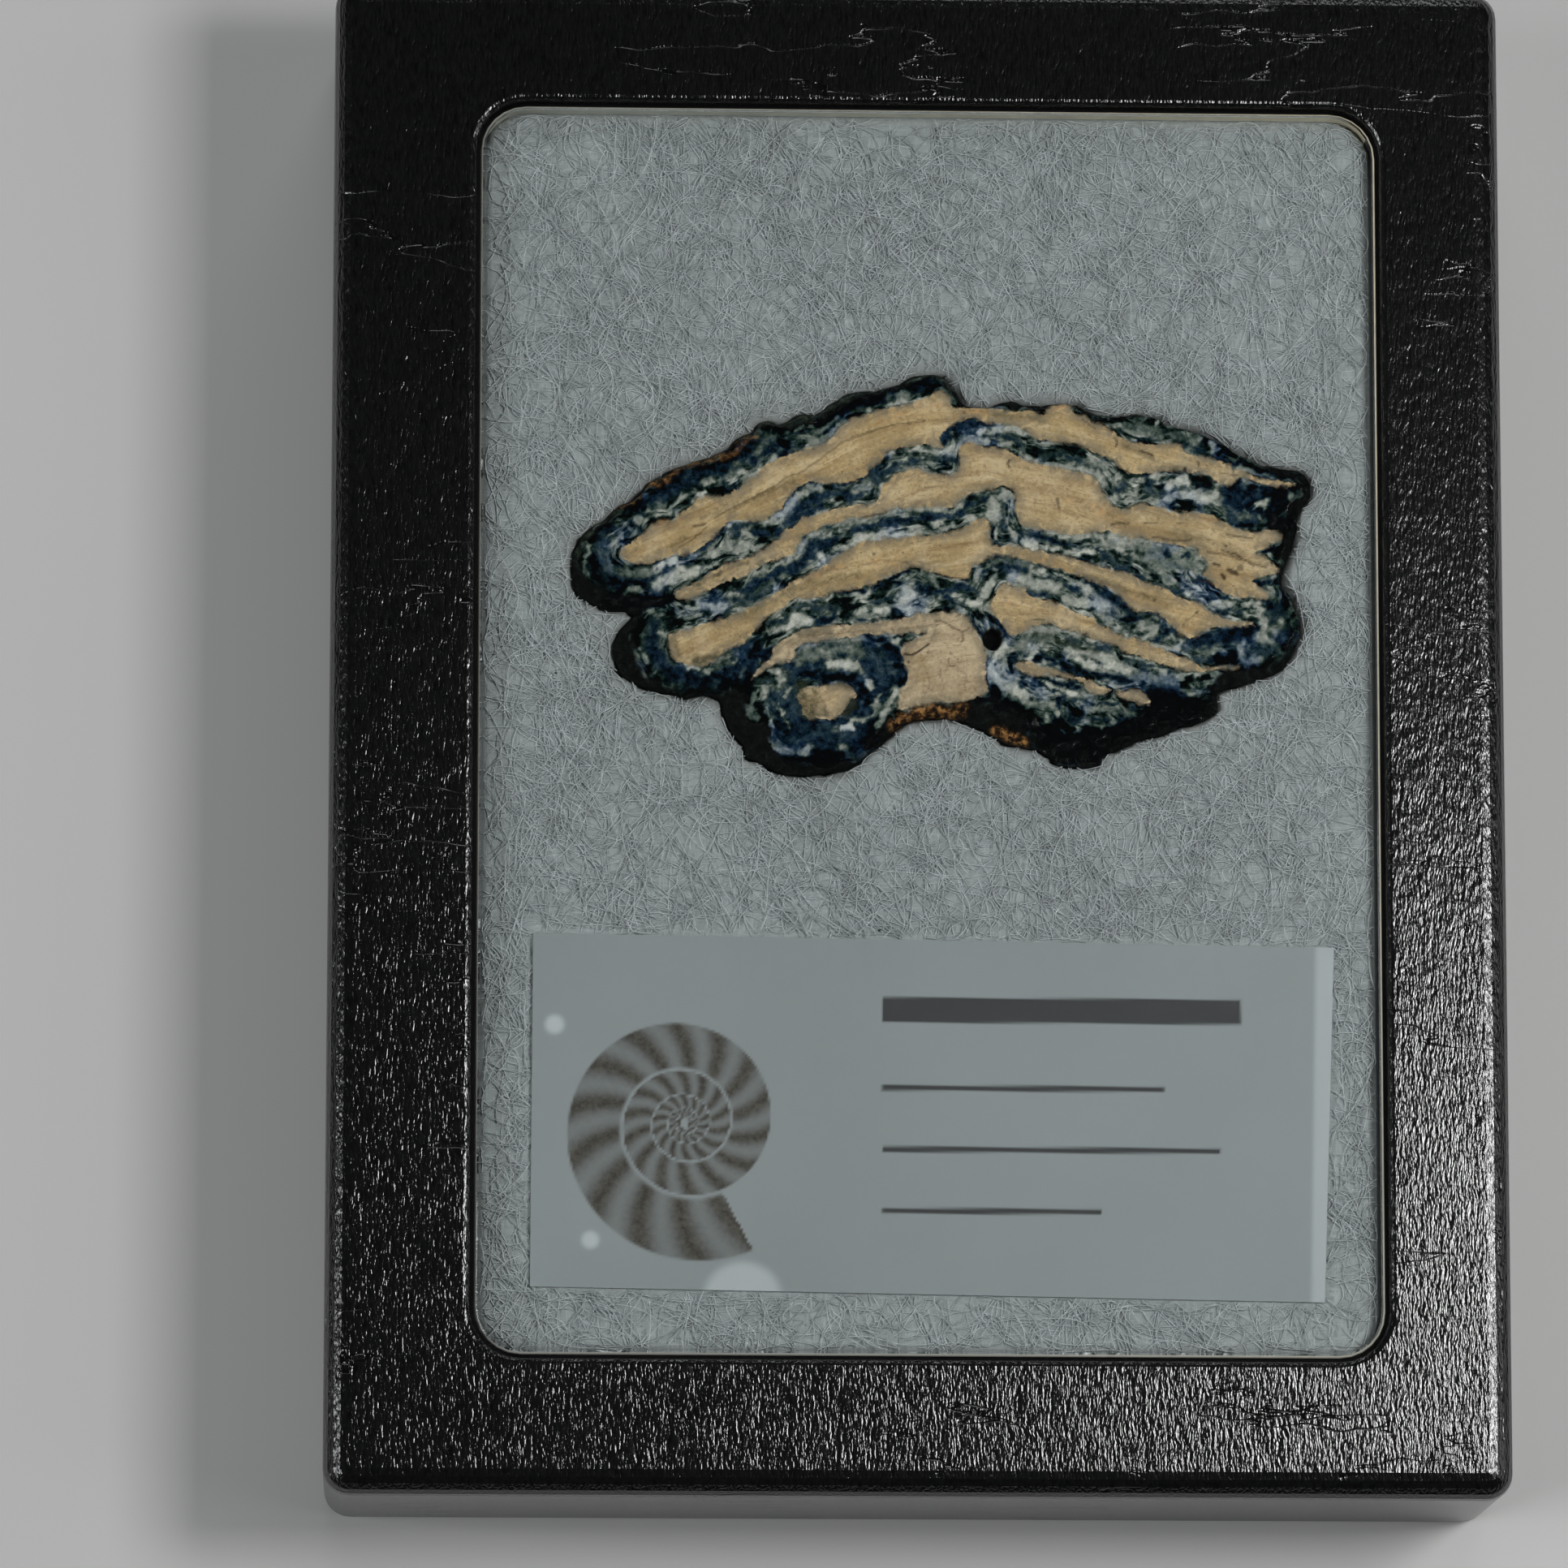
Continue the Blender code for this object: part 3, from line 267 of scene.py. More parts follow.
# Veins in the enamel, as (tone, half width, x, y, x, y ...): tone 0 is white and 1 is black
PALE, SOFT, MID, NAVY, DEEP, BLACK = 0.04, 0.2, 0.42, 0.74, 0.87, 1.0
VEINS = [
    (0.8, 1.3, -9.6, 2.6, -9.2, 0.2, -7.2, -0.9, -4.8, -0.4, -3.3, 2, -3, 4.6, -5.6, 5.8, -9, 4.8),
    (0.7, 0.9, -18.9, 7.8, -19.3, 6, -17.9, 4.3, -15.6, 3.7, -13.6, 4.4, -12.6, 6),
    (0.68, 0.9, -22.7, 13.6, -22.7, 11.6, -21, 10.9, -19.4, 11),
    (0.9, 1.1, 22.6, 17.7, 24.4, 16.7, 26.4, 17.6),
    (0.85, 0.7, 19.6, 6.8, 21.6, 7, 23.8, 7.4),
    (0.7, 1, 25.3, 9.4, 26, 8, 25.3, 6.5, 23.4, 5.9),
    (0.78, 0.7, -20.6, 16.2, -18.6, 17.2, -16.4, 18.6, -14, 19.3, -12.2, 20.7, -10.6, 21.3),
    (0.86, 0.5, -9.4, 21.9, -7.6, 22.3, -5.6, 23.5, -3.6, 24.4, -1.4, 24.9, 0.6, 25.6),
    (0.36, 0.5, 14.6, 14, 16.5, 13.7, 18, 13.4, 19.6, 13.1),
    (0.33, 0.4, 16.8, 12.3, 18.2, 12.3, 19.2, 12.6, 20.3, 12.2),
    (0.3, 0.25, -11, 12, -9.6, 12.5, -8.7, 13.2, -8.1, 14, -6.8, 14.8, -5.2, 15.3, -3.2, 15.8, -1, 16.2,
     1.6, 16.4, 3.4, 16.8),
    (0.55, 0.3, -5.8, 17.95, -4.5, 17.9, -3.6, 18.4, -3.3, 18.9),
    (0.55, 0.3, 5.2, 12.6, 6.4, 12.6, 7.6, 12.3, 8.8, 12),
    (0.85, 0.3, -18.7, 7.4, -19.1, 6.6, -18.9, 5.6, -18.2, 4.7, -17.2, 4.1, -16, 3.8, -14.8, 4, -13.8,
     4.4),
    (0.92, 0.5, -12.5, 6.2, -13, 5, -13.2, 4, -13.8, 3.5),
    (0.95, 0.3, -8.7, 4.2, -7.2, 4.1, -5.8, 4, -4.4, 3.6, -3.6, 2.8, -3.7, 1.9, -4.4, 1.2),
    (0.9, 0.3, -9.4, 2.6, -9.2, 1.5, -8.5, 0.8, -7, 0.75, -5.4, 0.8),
    (0.95, 0.35, -3.4, 7, -2.1, 6.2, -1.5, 5.2, -1.5, 4.2),
    (0.93, 0.3, -9.6, -1.9, -8, -1.9, -6.4, -1.6),
    (0.95, 0.45, 22.4, 18.2, 22.8, 17.4, 23.2, 16.8),
    (0.95, 0.35, 24.2, 18.1, 25.4, 17.9, 26.8, 18.1),
    (0.8, 0.4, 22.6, 15.8, 23.7, 15.9, 25, 16.3, 26.2, 16.6),
    (0.98, 0.4, 25.2, 15.4, 26, 15.3, 26.6, 15.6),
    (0.92, 0.35, 22, 7.4, 23.2, 7.6, 24.2, 7.9),
    (0.92, 0.09, 9.3, 13.25, 10.5, 13.05, 11.5, 12.85, 12.6, 12.45, 13.6, 12.15, 14.6, 11.9, 15.6, 11.6,
     16.6, 11.2, 17.6, 10.7, 18.4, 10.4, 19.2, 10.1, 20.2, 9.85),
    (0.9, 0.09, 4.4, 12.7, 5.1, 13.1, 6.1, 13.15, 7.2, 12.9, 8.2, 12.65, 9.4, 12.3, 10.6, 12, 11.8, 11.6,
     13, 11.15, 14, 10.7, 14.7, 10),
    (0.9, 0.08, -9.9, 16.1, -9.3, 16.9, -8.6, 17.6, -7.9, 18.15, -6.6, 18.2, -4.8, 18.25, -3.9, 18.6, -3.3,
     19.4, -2.6, 20.1),
    (0.75, 0.22, 7.6, 10.35, 8.4, 10.45, 9.3, 10.15),
    (0.9, 0.3, 13.4, 10.2, 14.3, 9.6, 15.2, 8.9),
    (0.45, 0.35, 7.2, 6.7, 8.4, 7, 9.6, 6.9),
    (0.3, 0.35, 7.7, 7.4, 8.6, 7.75, 9.6, 7.7, 10.6, 7.5, 11.6, 7.2),
    (0.76, 0.2, 10.4, 7.1, 12, 6.6, 13.6, 6.2),
    (0.35, 0.25, 12.4, 8.9, 13.2, 8.6, 13.8, 8.1),
    (0.45, 0.45, -8.8, 5.2, -7.8, 5.6, -6.4, 5.9, -5, 6.1, -4, 5.9),
    (0.35, 0.22, -8.2, 6.15, -7, 6.5, -5.6, 6.7, -4.2, 6.85, -3, 6.95),
    (0.22, 0.35, 12.4, 14.6, 13.6, 14.5, 15, 14.3, 16.6, 14.1, 17.6, 13.9),
    (0.12, 0.25, 21.2, 9.8, 22.4, 9.6, 23.6, 9.7, 24.6, 9.5),
    (0.2, 0.3, 7.2, 16.4, 7.4, 15.5, 8.2, 15.15, 9.4, 15),
    (0.25, 0.35, -7.6, 21.3, -6.6, 21.6, -5.8, 22.2),
    (0.35, 0.35, 15.6, 12.9, 16.6, 12.7, 17.4, 12.9),
    (0.3, 0.18, -11.8, 13.2, -11, 13.7, -10.3, 14.1, -9.7, 14.7),
    (0.2, 0.18, -1.9, 6.6, -1.2, 6.8, -0.4, 7),
    (0.35, 0.18, -5.6, 8.3, -4.4, 8.35, -3.2, 8.5),
    (0.85, 0.35, 1.9, 21.2, 2.1, 22, 2.8, 22.5, 3.8, 22.7, 5.4, 22.5),
    (0.72, 0.45, -14.6, 9.4, -13.2, 9.5, -11.8, 9.8, -11, 10.2),
    (0.72, 0.35, 18.6, 21.6, 19.6, 21.2, 20.4, 20.9),
    (0.92, 0.45, -11.7, 5.2, -12.2, 4.2, -12.2, 3.2),
    (0.85, 0.28, -8.6, 15.8, -7.8, 16.1, -7, 16.45),
    (0.88, 0.35, -11.6, 19.8, -10.8, 20.4, -10.2, 20.6),
    (0.9, 0.2, 21.4, 18.75, 22.3, 18.95, 23.2, 18.9),
    (MID, 0.4, -20.8, 11.6, -19.7, 11.6),
    (SOFT, 0.35, -15.6, 9.4, -13.8, 9),
    (MID, 0.4, 15.2, 22.6, 16.6, 22.3, 17.3, 22),
    (MID, 0.5, 16.6, 12.2, 18, 12.6, 19.2, 12.4),
    (MID, 0.4, 15.5, 13.8, 16.6, 13.6, 17.8, 13.2),
    (MID, 0.4, 20.6, 5.9),
    (MID, 0.35, 15.3, 1.5),
    (0.3, 0.35, -7.8, 21.2, -6.8, 21.4, -6, 22.1, -5.2, 22.7),
    (SOFT, 0.3, -11.6, 11.5, -11, 11.4, -10.4, 11.9, -9.4, 12.4, -8.6, 12.8, -8.1, 13.6),
    (NAVY, 0.5, -18.4, 17.3),
    (NAVY, 0.5, -16.6, 18.7, -15.8, 18.7, -14.8, 18.9, -14.2, 19.1),
    (NAVY, 0.4, -16.6, 18.1),
    (NAVY, 0.3, -13.2, 19.2, -12.8, 19.8, -12.4, 20.3, -12, 20.7),
    (BLACK, 0.45, -9.9, 20.2, -9.5, 20.5, -9.5, 20.8, -9.9, 21.2),
    (NAVY, 0.15, -9, 21.8, -8.4, 21.7, -7.9, 22),
    (NAVY, 0.2, -20.2, 16, -19.8, 15.7, -20.4, 15.2, -19.9, 14.8, -20, 14.3),
    (NAVY, 0.25, -22, 14.8, -22.6, 14.4),
    (BLACK, 0.3, -23.4, 12.7, -23.3, 11.9, -23.2, 11.4),
    (DEEP, 0.26, -22, 11.2, -21.4, 10.8, -20.6, 10.7, -19.6, 10.9),
    (DEEP, 0.12, -19.6, 10.9, -18.8, 11.2, -18.2, 11.5, -17.6, 11.8),
    (BLACK, 0.2, -21.9, 11, -21.4, 10.4, -20.8, 10.2),
    (DEEP, 0.2, -16.1, 13.1, -15.3, 13.5, -14.8, 14, -14.3, 14.5, -14, 14.9),
    (NAVY, 0.25, -13.3, 14.8, -12.8, 15, -12, 15.2, -11.6, 15.1),
    (NAVY, 0.25, -12.9, 14.3, -13.4, 14.6),
    (0.84, 0.34, -11.6, 14.4, -11, 14.4, -10.4, 14.3, -10, 14.8, -9.2, 15.3, -8.9, 15.9, -8.4, 16.2, -7.8,
     16.6, -7.3, 17.1, -6.4, 17.3, -5.4, 17.4, -4.8, 17.2, -4.3, 17.3),
    (NAVY, 0.35, -3, 19.6, -3.2, 18.8, -2.7, 18.2),
    (NAVY, 0.25, -2.8, 18.6, -2.2, 19, -1.6, 19.3, -0.9, 19.6, -0.2, 19.9, 0.5, 20, 1.2, 20.1, 2, 20, 2.7,
     19.9),
    (NAVY, 0.2, 3.4, 22.1, 4, 22, 4.5, 21.8, 5.2, 21.8, 6, 21.8, 6.6, 21.6, 7.2, 21.3, 7.4, 20.9, 7.6,
     20.6),
    (BLACK, 0.1, 8.6, 21.5, 9.1, 21.5),
    (NAVY, 0.22, 8.9, 20.2, 9.4, 20.1, 9.8, 20.4, 10.4, 20.4, 11, 20.2, 11.5, 19.9, 12.1, 19.6, 12.8, 19.3,
     13.2, 19.2),
    (NAVY, 0.35, 14, 17.8, 14.5, 18.1, 14.8, 18.4),
    (NAVY, 0.3, 16.8, 18.4, 16.6, 17.8, 17.3, 17.6, 18, 17.8),
    (BLACK, 0.08, 15, 19.1, 15.8, 19.1, 16.8, 19.2, 17.6, 19.3),
    (BLACK, 0.2, 20.2, 18.3, 21, 18, 20.6, 17.9),
    (DEEP, 0.4, 22.4, 18.5, 22.6, 18, 22.2, 17.6, 22.8, 17.2, 23.4, 17.2),
    (BLACK, 0.12, 22.4, 18.4, 23.2, 18.7),
    (DEEP, 0.25, 20.9, 20.4, 21.6, 20.2, 22, 20.1, 22.6, 19.9, 23.2, 20, 24, 19.7, 24.8, 19.4),
    (DEEP, 0.35, 24.8, 19.4, 25.6, 19.4, 26.6, 19.3, 27.6, 19.2),
    (NAVY, 0.3, 19.9, 21.4, 20, 20.9, 20.4, 20.6),
    (MID, 0.25, 18.5, 22, 19.2, 21.7, 19.9, 21.4),
    (BLACK, 0.15, 25.6, 18.1, 26.6, 18.1, 27.6, 18.2, 28, 18.6),
    (BLACK, 0.15, 25.5, 17.6, 26.2, 17.4),
    (BLACK, 0.35, 25.6, 16, 26.2, 15.6, 26.9, 16, 27, 15.2),
    (NAVY, 0.35, 22.2, 16.5, 23.2, 15.7, 24, 15.5, 24.1, 16.2),
    (BLACK, 0.1, 22.6, 15.4, 24, 15.3),
    (0.82, 0.35, -13.2, 10.3, -12.4, 10.2, -11.8, 10.8, -11.2, 11, -10.6, 11.2, -10, 11.7, -9.4, 11.8,
     -8.8, 12, -8.3, 12.5, -7.9, 12.9, -7.6, 13.5, -7.2, 13.8),
    (0.84, 0.27, -7.9, 12.7, -7, 13.4, -6.4, 13.8, -5.6, 14.3, -4.8, 14.5, -4, 14.8, -3.2, 15.1, -2.4,
     15.4, -1.6, 15.5, -1, 15.5, -0.4, 15.7, 0.4, 15.8, 1.2, 15.9, 2, 15.9, 2.8, 16, 3.3, 16.4, 3.9, 16.8,
     4.5, 17, 5.2, 17.1),
    (NAVY, 0.1, -6.6, 15, -6, 14.9, -5.2, 15),
    (NAVY, 0.15, 6.2, 16.8, 6.2, 16, 6.1, 15.4, 6, 14.9),
    (BLACK, 0.07, 5.3, 15.2, 5.25, 14.6, 5.4, 14.1, 5.8, 13.8),
    (DEEP, 0.2, 5.9, 15),
    (NAVY, 0.2, 7.4, 14.6, 7.8, 14.8, 8.2, 14.9),
    (0.86, 0.18, 7.9, 14.4, 8.6, 14.4, 9.2, 14.3, 9.7, 14.1, 10.2, 13.9, 11, 13.8, 11.8, 13.6, 12.6, 13.5,
     13.2, 13.2),
    (NAVY, 0.25, 13.1, 12.6, 13.4, 13.1, 14, 12.6, 14.8, 12.2, 15.2, 12.6, 15.1, 12),
    (NAVY, 0.2, 16.2, 11.6, 16.8, 11.2, 17.4, 10.9, 18.2, 10.6, 18.8, 10.9, 18.6, 10.4, 19.4, 10, 20.2,
     9.8, 20.6, 9.5, 21, 9.1),
    (NAVY, 0.15, 21.4, 9, 22, 8.9, 22.6, 9.1, 23.2, 9.1, 23.8, 9),
    (BLACK, 0.15, 21.8, 10, 22.5, 10),
    (BLACK, 0.08, 23.2, 10.1),
    (BLACK, 0.08, 24.2, 9.9),
    (BLACK, 0.25, 25, 9.7, 25.2, 9.3),
    (DEEP, 0.2, 26, 9.6, 26.4, 9.8),
    (NAVY, 0.25, 22.8, 12),
    (DEEP, 0.25, 19.4, 13.2),
    (DEEP, 0.3, 17.8, 13.4),
    (NAVY, 0.15, 19.6, 14.4, 20.3, 14.2, 21, 14.5),
    (BLACK, 0.12, 24.3, 13.3, 24.9, 13.4, 25.4, 13.6, 26.2, 13.6),
    (BLACK, 0.08, 25.1, 13, 25.4, 12.5, 26, 12.1),
    (DEEP, 0.15, 24, 11.2, 24.8, 11.1, 25.3, 11.3, 25.8, 11.5),
    (BLACK, 0.12, 24.6, 15, 25.4, 14.9),
    (BLACK, 0.4, -11.4, 6.4, -11.8, 5.8, -11.2, 5.6, -10.6, 5.8),
    (NAVY, 0.3, -12.2, 6.2, -12.8, 5.6, -13.4, 4.4, -13, 3.8),
    (NAVY, 0.3, -9.4, 8.4, -9.8, 8, -10.6, 8),
    (NAVY, 0.2, -8.9, 9, -8.3, 9.2, -7.6, 9.2, -6.8, 9, -6, 9),
    (DEEP, 0.35, -7.1, 7.9, -6.6, 8.1, -6.2, 8.3),
    (BLACK, 0.15, -5.8, 10.2, -4.6, 10.3, -3.6, 10.4, -2.8, 10.8, -2, 11.2, -1.2, 11.6, -0.6, 11.9),
    (NAVY, 0.12, -3.4, 9.4, -2.6, 9.6, -1.8, 9.9),
    (DEEP, 0.25, 0, 11, 0.2, 10.4, 0.8, 10.5, 1.6, 10.3, 2.2, 10.4, 2.8, 10.6, 3.3, 10.8, 3.6, 10.6),
    (DEEP, 0.25, 1.6, 9.9, 2.2, 9.8, 2.4, 9.5),
    (BLACK, 0.25, 2, 9, 1.9, 8.7),
    (NAVY, 0.15, 4, 10.6, 4.2, 10.2, 4.4, 9.9),
    (BLACK, 0.15, 3.4, 9.6, 3.6, 9.2, 3.7, 8.6, 3.8, 8.2),
    (0.86, 0.17, 4.9, 11.8, 5.6, 12.2, 6.4, 12.1, 7.2, 11.9, 7.8, 11.8, 8.2, 11.5, 8.8, 11.4, 9.6, 11.4,
     10.2, 11.1, 10.8, 10.8, 11.6, 10.6, 12.2, 10.4, 12.8, 10.2),
    (NAVY, 0.07, 5.1, 13, 5.8, 13, 6.4, 12.9),
    (DEEP, 0.15, -2.1, 8.8),
    (DEEP, 0.08, -4.4, 8.2, -3.9, 8.3, -3.2, 8.1),
    (DEEP, 0.1, 8, 10, 8.4, 10.2, 9, 10.2),
    (NAVY, 0.15, 13.6, 10.2, 14.2, 10, 14.8, 9.6, 15.4, 9.2, 16, 9, 17, 8.9, 17.6, 8.5, 18.2, 8, 18.6,
     7.4),
    (BLACK, 0.3, 14.4, 8.4, 15, 8.3, 15.6, 8.4),
    (NAVY, 0.3, 14.8, 7.7, 15.2, 7.4),
    (DEEP, 0.35, 17.2, 7.9, 17.8, 8, 17.6, 7.2, 17, 6.8, 16.8, 6.6),
    (NAVY, 0.15, 19.4, 6.6, 20.4, 6.8, 21, 6.6, 20.4, 6.4),
    (BLACK, 0.25, 22.6, 7.6, 23.4, 7.8, 24.2, 8, 23.6, 7.4),
    (BLACK, 0.4, 21.6, 5.6, 22.4, 5.4, 22.8, 6),
    (NAVY, 0.25, 18.8, 6.3, 19.4, 6.1, 20, 5.6, 21, 5.4),
    (NAVY, 0.25, -4.2, 6.2, -3.6, 5.8, -3.1, 5.2, -2.7, 4.7, -2.5, 4.2),
    (BLACK, 0.2, -3.6, 7.1, -2.6, 6.6, -1.8, 6.1, -1.3, 5.6, -1.1, 5, -0.9, 4.4, -1, 3.9, -1.3, 3.6),
    (BLACK, 0.3, -3.4, 4, -3.2, 3.5, -3.8, 3.2, -4.2, 2.6, -4.6, 2, -5.2, 1.6),
    (BLACK, 0.25, -6.8, 4.5, -6.9, 3.9, -6.2, 3.9, -5.4, 4.1, -4.8, 4.4, -4.6, 4),
    (NAVY, 0.35, -9, 3.9, -9.2, 2.6, -8.8, 1.6, -9.4, 1.2, -8.9, 0.8),
    (NAVY, 0.2, -8.9, 4.4, -9.4, 3.8),
    (NAVY, 0.4, -8.6, 0.4, -7.8, 0.2, -7, 0.2, -6.4, -0.2, -5.6, -0.4, -4.8, -0.4, -4.2, 0.1, -3.8, -0.2,
     -3.5, -0.8),
    (NAVY, 0.4, -10, -0.1, -9.4, -0.3, -8.8, -0.6, -8.2, -0.8, -7.2, -0.9),
    (BLACK, 0.2, -3.2, 0.8, -3.2, 0.2, -3.3, -0.6),
    (DEEP, 0.25, -6.6, -1.8, -5.6, -2),
    (NAVY, 0.4, -10.2, 3, -10.6, 2.4, -9.9, 2.1),
    (NAVY, 0.2, -11.3, 3.6, -10.6, 3.8),
    (DEEP, 0.3, 6.6, 5.4, 7, 5.6, 7.3, 5.8),
    (MID, 0.2, 6.8, 6.6, 7.6, 6),
    (BLACK, 0.3, 8.4, 5.4, 8.9, 5.6, 9.6, 5.3, 10.4, 5, 11.2, 4.7, 12, 4.5, 13, 4.4, 14.2, 4.2, 15.2, 3.9),
    (BLACK, 0.12, 8.4, 3.8, 9, 3.6, 9.8, 3.3, 10.6, 3),
    (BLACK, 0.15, 9.3, 4, 10.2, 3.7, 11, 3.5, 11.6, 3.3),
    (BLACK, 0.3, 10.2, 2.6, 10, 1.6, 9.9, 0.8, 10.2, 0.2),
    (NAVY, 0.12, 11, 2.5, 11.8, 2.6, 12.8, 2.4, 13.6, 2.2, 14.4, 2.2),
    (NAVY, 0.2, 10.7, 2, 10.9, 1.2, 11.2, 0.8),
    (NAVY, 0.2, 11, 1, 12.4, 1.2, 13.6, 1, 14.8, 1),
    (NAVY, 0.2, 15.4, 2, 15.9, 1.8),
    (NAVY, 0.15, 10.2, 6.2, 11, 6.4, 12, 6.2, 13, 6, 13.8, 5.6, 14.4, 5.3, 15.4, 5.4, 16.6, 5, 17.6, 4.9,
     18.6, 4.6, 19.4, 4.3),
    (BLACK, 0.06, 8.2, 4.2, 7.4, 4.6, 6.9, 4.9),
    (DEEP, 0.25, 16.4, 3.6, 17.2, 3.6, 18, 3.6, 18.8, 3.2, 19.4, 2.6, 20.4, 2.4, 21, 2.8, 21.2, 3.6),
    (BLACK, 0.4, 4.4, 2.4, 5.2, 2.6, 6, 2.2, 6.8, 2, 7.6, 1.2, 8.2, 0.6),
    (0.1, 0.3, -18.6, 15.7, -17.7, 15.9),
    (PALE, 0.2, -16.5, 16.1, -16.2, 16.8, -15.6, 17.3, -15, 17.5),
    (SOFT, 0.22, -22.1, 13.3, -21.6, 13.9, -21, 14.4, -20.6, 14.7),
    (SOFT, 0.12, -23.7, 13.4, -23.8, 12.4, -23.8, 11.6),
    (SOFT, 0.25, -20.1, 15.4),
    (PALE, 0.3, -18.8, 12, -18, 12.3, -17.5, 12.5),
    (SOFT, 0.15, -16.2, 12.7),
    (PALE, 0.5, -18.6, 10.6, -17.6, 11.1, -16.4, 11.6, -15.8, 11.8),
    (SOFT, 0.3, -14.7, 13.1),
    (SOFT, 0.25, -13.1, 13.2, -12.6, 13.8, -12, 13.5),
    (SOFT, 0.12, -13.7, 14.3, -13.6, 15),
    (SOFT, 0.2, -11.2, 15, -10.5, 15.4, -9.8, 15.9, -9.3, 16.6, -8.8, 17, -8.2, 17.5),
    (PALE, 0.12, -9.2, 9.3, -8.6, 9.6, -7.4, 9.6, -6.2, 9.9),
    (PALE, 0.4, -9.4, 7.6, -8.7, 8.2, -8, 8.2),
    (SOFT, 0.15, -17.2, 7.7),
    (SOFT, 0.1, -21, 10, -20.4, 10.3, -19.5, 10.2),
    (SOFT, 0.3, -12.4, 18.4, -11.8, 18.6, -11.3, 18.9, -10.8, 19.5, -10.4, 20.1),
    (SOFT, 0.25, -15.3, 18, -14.4, 18.2),
    (MID, 0.2, -13.7, 18.6, -13.2, 19.4),
    (SOFT, 0.1, -8.8, 22, -8.2, 22.1, -7.6, 22.2),
    (MID, 0.3, -11.6, 20.6, -11, 21.2, -10.4, 21.4),
    (SOFT, 0.15, -9.3, 21.8),
    (SOFT, 0.2, -7.6, 21.8, -6.8, 22.2, -6.2, 22.6, -5.8, 23),
    (SOFT, 0.15, -2.2, 23.85),
    (PALE, 0.2, -1.8, 24, -1, 24.2, -0.2, 24.3),
    (SOFT, 0.25, -2, 24.6, -0.8, 24.8),
    (PALE, 0.2, -0.9, 20.6, -0.2, 20.8, 0.6, 20.7),
    (SOFT, 0.15, -2.4, 20.3, -1.6, 20.5),
    (PALE, 0.2, 4.5, 22.1, 5.2, 22.1),
    (PALE, 0.3, 6.3, 22.3, 6.9, 22.3, 7.3, 22),
    (SOFT, 0.15, 5.3, 22.4, 6, 22.3),
    (SOFT, 0.2, 3.4, 21.9, 3.2, 21.2, 3, 20.6),
    (SOFT, 0.15, 3.4, 21.4, 4.1, 21.3),
    (SOFT, 0.15, 4.6, 21.35, 5.8, 21.3, 6.6, 21, 7.3, 20.5),
    (SOFT, 0.25, 7.8, 20.2, 8.6, 19.9, 9.6, 19.7, 10.5, 19.6, 11.5, 19.4, 12.2, 19.1, 13, 18.9, 13.3,
     18.3),
    (SOFT, 0.2, 2.6, 19.1, 1, 19, 0, 19.1, -1, 19.2),
    (SOFT, 0.2, -2.5, 18, -2.6, 17.4, -2.4, 16.8),
    (SOFT, 0.25, -7.6, 17.8, -7, 17.9),
    (PALE, 0.25, 17.2, 22.9),
    (PALE, 0.25, 21.1, 21.5, 21.3, 21, 21.5, 20.8, 21.2, 20.7),
    (SOFT, 0.12, 20.3, 21.6, 20.6, 21.3),
    (SOFT, 0.1, 23.4, 20.3),
    (SOFT, 0.25, 12.4, 20, 12.9, 19.8, 13.2, 20),
    (SOFT, 0.25, 13.7, 19.6, 14.2, 19, 14.4, 18.6),
    (PALE, 0.3, 18, 18.1, 18.6, 18.5, 19.2, 18.9, 19.4, 18.4),
    (PALE, 0.4, 20.3, 17.3, 21.3, 17.5),
    (SOFT, 0.3, 17.3, 17.1, 18.5, 17.3),
    (SOFT, 0.15, 25, 18.9),
    (SOFT, 0.3, 26.9, 17.6),
    (PALE, 0.15, 24.1, 16.6, 24.8, 16.9, 25.4, 17.05),
    (SOFT, 0.25, 23.2, 16, 23.8, 16.1),
    (SOFT, 0.12, 24.6, 15.9, 25.2, 15.4),
    (SOFT, 0.15, -2.4, 16.1, -1, 16.3, 0.5, 16.4, 2, 16.5, 3.2, 16.6),
    (0.14, 0.25, -6.8, 12.6, -5.8, 13.3, -5, 13.6, -4.2, 14.2, -2.6, 14.4, -1, 14.4, 1, 14.8, 2.6, 15),
    (SOFT, 0.3, 5.4, 16.9, 5.2, 16.2, 5.4, 15.6, 5.8, 16.6),
    (SOFT, 0.2, 6.7, 16.8, 6.6, 16, 6.5, 15.4),
    (SOFT, 0.25, 6.6, 14.9, 6.9, 14.5, 7, 14.1),
    (0, 0.3, 7.8, 14, 8.3, 13.7),
    (SOFT, 0.3, 7.6, 15.3, 8.4, 15.2, 9.4, 14.9, 10.5, 14.5, 11.5, 14.4, 12.5, 14.5, 13.3, 14.3, 13.8,
     13.8, 14.5, 13.6),
    (PALE, 0.2, 9.9, 13.5, 10.8, 13.4, 11.6, 13.3, 12.4, 13.2, 12.8, 12.9),
    (PALE, 0.2, 8.3, 11.9, 8.9, 11.8),
    (SOFT, 0.4, 6.8, 11.5, 7.6, 11.2, 8.6, 11, 9.4, 10.9, 10.2, 10.7),
    (SOFT, 0.25, 5.4, 11.3, 5, 10.8, 4.7, 10.2),
    (PALE, 0.35, 3.8, 9.4, 4.5, 9.4),
    (PALE, 0.3, 0.5, 9.6, 1.3, 9.5),
    (0.12, 0.35, -1.5, 9.3, -0.9, 9.8, -0.5, 10, -0.9, 10.6),
    (PALE, 0.25, -3, 8.8, -2.2, 9),
    (SOFT, 0.15, 1.4, 10.8),
    (SOFT, 0.15, 5.5, 12),
    (MID, 0.3, 0.3, 11.7, 0.9, 11.3),
    (0.3, 0.3, 17.5, 11.8, 17.8, 11.2, 18.3, 11),
